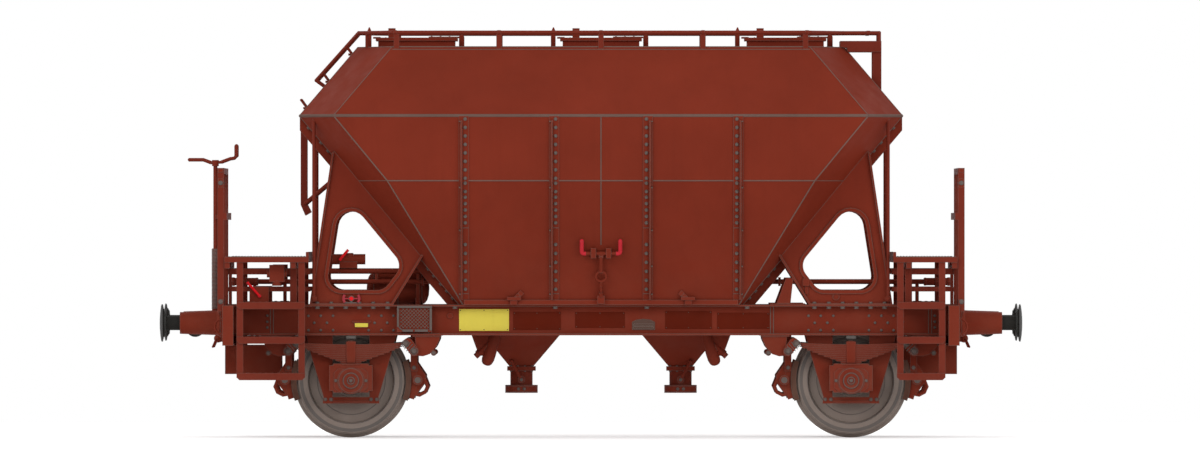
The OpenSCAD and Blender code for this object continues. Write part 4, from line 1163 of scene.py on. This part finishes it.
def inlet_castings():
    """The thick lower end of each air inlet, its branch with a nut and its bracket plate."""
    castings, brackets = Shape(), Shape()
    for ex in HALVES:
        outline = [(ex * u, z) for u, z in INLET_BRACKET]
        for sy in SIDES:
            y = sy * INLET_Y
            foot, head = at(ex * 1.136, y, 0.777), at(ex * 1.012, y, 1.155)
            castings.lathe(INLET_PROFILE, facing(foot, head - foot), 32)
            start, end = at(ex * 1.115, y, 0.938), at(ex * 1.246, y, 0.820)
            castings.tube([start, end], 0.027, 20)
            castings.sleeve(end, end - start, 0.034, 0.016, 0.005, 0.004, 6)
            brackets.side_plate(outline, INLET_Y - 0.006, INLET_Y + 0.006, sy)
    place_piece("inlet_castings", castings, fitting_paint)
    place_piece("inlet_brackets", brackets, fitting_paint)


RAIL_RISE = 0.145
COLLARS = ((-2.06, 1.01), (2.06, 1.01), (-1.02, 1.01), (0.0, 1.01), (1.02, 1.01), (2.68, 0.452))


def rail_collars():
    shape = Shape()
    for sy in SIDES:
        for u, y in COLLARS:
            place = at(u, sy * y, ROOF_Z + RAIL_RISE)
            shape.sleeve(place, (1, 0, 0), 0.022, 0.02, 0.0045, 0.003, 20)
    place_piece("rail_collars", shape, rail_paint)


def seen_rays(tree):
    """One for rays that show a background: from the camera, off metal or through glass."""
    rays = tree.nodes.new("ShaderNodeLightPath").outputs
    seen = math_node(tree, "MAXIMUM", rays["Is Camera Ray"], rays["Is Glossy Ray"])
    return math_node(tree, "MAXIMUM", seen, rays["Is Transmission Ray"])


FLOOR_HALF = 14.0
FLOOR_GLOW = 0.35


def stage():
    """A plain pale floor that keeps the wagon's shadow."""
    mesh = bpy.data.meshes.new("floor")
    size = FLOOR_HALF
    corners = [(-size, -size, 0), (size, -size, 0), (size, size, 0), (-size, size, 0)]
    mesh.from_pydata(corners, [], [(0, 1, 2, 3)])
    floor = add_object("floor", mesh)
    material = bpy.data.materials.new("floor")
    material.use_nodes = True
    tree = material.node_tree
    shader = tree.nodes["Principled BSDF"]
    shader.inputs["Base Color"].default_value = (0.9, 0.9, 0.9, 1.0)
    shader.inputs["Roughness"].default_value = 0.9
    shader.inputs["Emission Color"].default_value = WHITE
    pale = math_node(tree, "MULTIPLY", seen_rays(tree), FLOOR_GLOW)
    tree.links.new(pale, shader.inputs["Emission Strength"])
    floor.data.materials.append(material)


AMBIENT = 0.72
# Soft lamps: name, place, the point they face, width and height, power
LAMPS = (
    ("key", (-9.0, -15.0, 12.0), (0.0, 0.0, 2.0), (9.0, 6.0), 820.0),
    ("fill", (11.0, -13.0, 6.0), (0.0, 0.0, 1.8), (8.0, 6.0), 460.0),
    ("rim", (0.0, 14.0, 11.0), (0.0, 0.0, 2.5), (10.0, 5.0), 500.0),
)


def lights():
    world = bpy.data.worlds.new("studio")
    bpy.context.scene.world = world
    world.use_nodes = True
    tree = world.node_tree
    background = tree.nodes["Background"]
    background.inputs["Color"].default_value = WHITE
    strength = math_node(tree, "MULTIPLY_ADD", seen_rays(tree), 1.0 - AMBIENT, AMBIENT)
    tree.links.new(strength, background.inputs["Strength"])

    for name, place, target, size, power in LAMPS:
        lamp = bpy.data.lights.new(name, "AREA")
        lamp.shape = "RECTANGLE"
        lamp.size, lamp.size_y = size
        lamp.energy = power
        obj = add_object(name, lamp)
        obj.location = place
        obj.rotation_euler = (Vector(target) - Vector(place)).to_track_quat("-Z", "Y").to_euler()


# A long lens, as the drawing is a side elevation; the frame is 12 m wide at the near side
LENS, SENSOR = 600.0, 36.0
VIEW_RANGE = 400.0
FRAME_WIDTH = 12.0
NEAR_Y = -1.0
CAMERA_X, CAMERA_Z = 0.09, 2.128


def camera():
    """The drawing's view, square to the side."""
    data = bpy.data.cameras.new("camera")
    data.lens = LENS
    data.sensor_width = SENSOR
    data.clip_end = VIEW_RANGE
    obj = add_object("camera", data)
    distance = FRAME_WIDTH * LENS / SENSOR
    obj.location = (CAMERA_X, NEAR_Y - distance, CAMERA_Z)
    obj.rotation_euler = (math.pi / 2, 0.0, 0.0)
    bpy.context.scene.camera = obj
    bpy.context.scene.view_settings.view_transform = "Standard"


hopper_seams()
rib_details()
end_bolts()
sign_plates()
small_label()
frame_details()
axle_box_details()
leaf_springs()
suspension_details()
wheel_bands()
buffer_details()
spindle_thread()
label_holders()
side_fittings()
changeover_knobs()
lever_grips()
crank_sleeves()
plate_fittings()
platform_teeth()
step_studs()
post_plates()
hatch_details()
reservoir_details()
pipe_couplings()
outlet_bolts()
inlet_castings()
rail_collars()
stage()
lights()
camera()
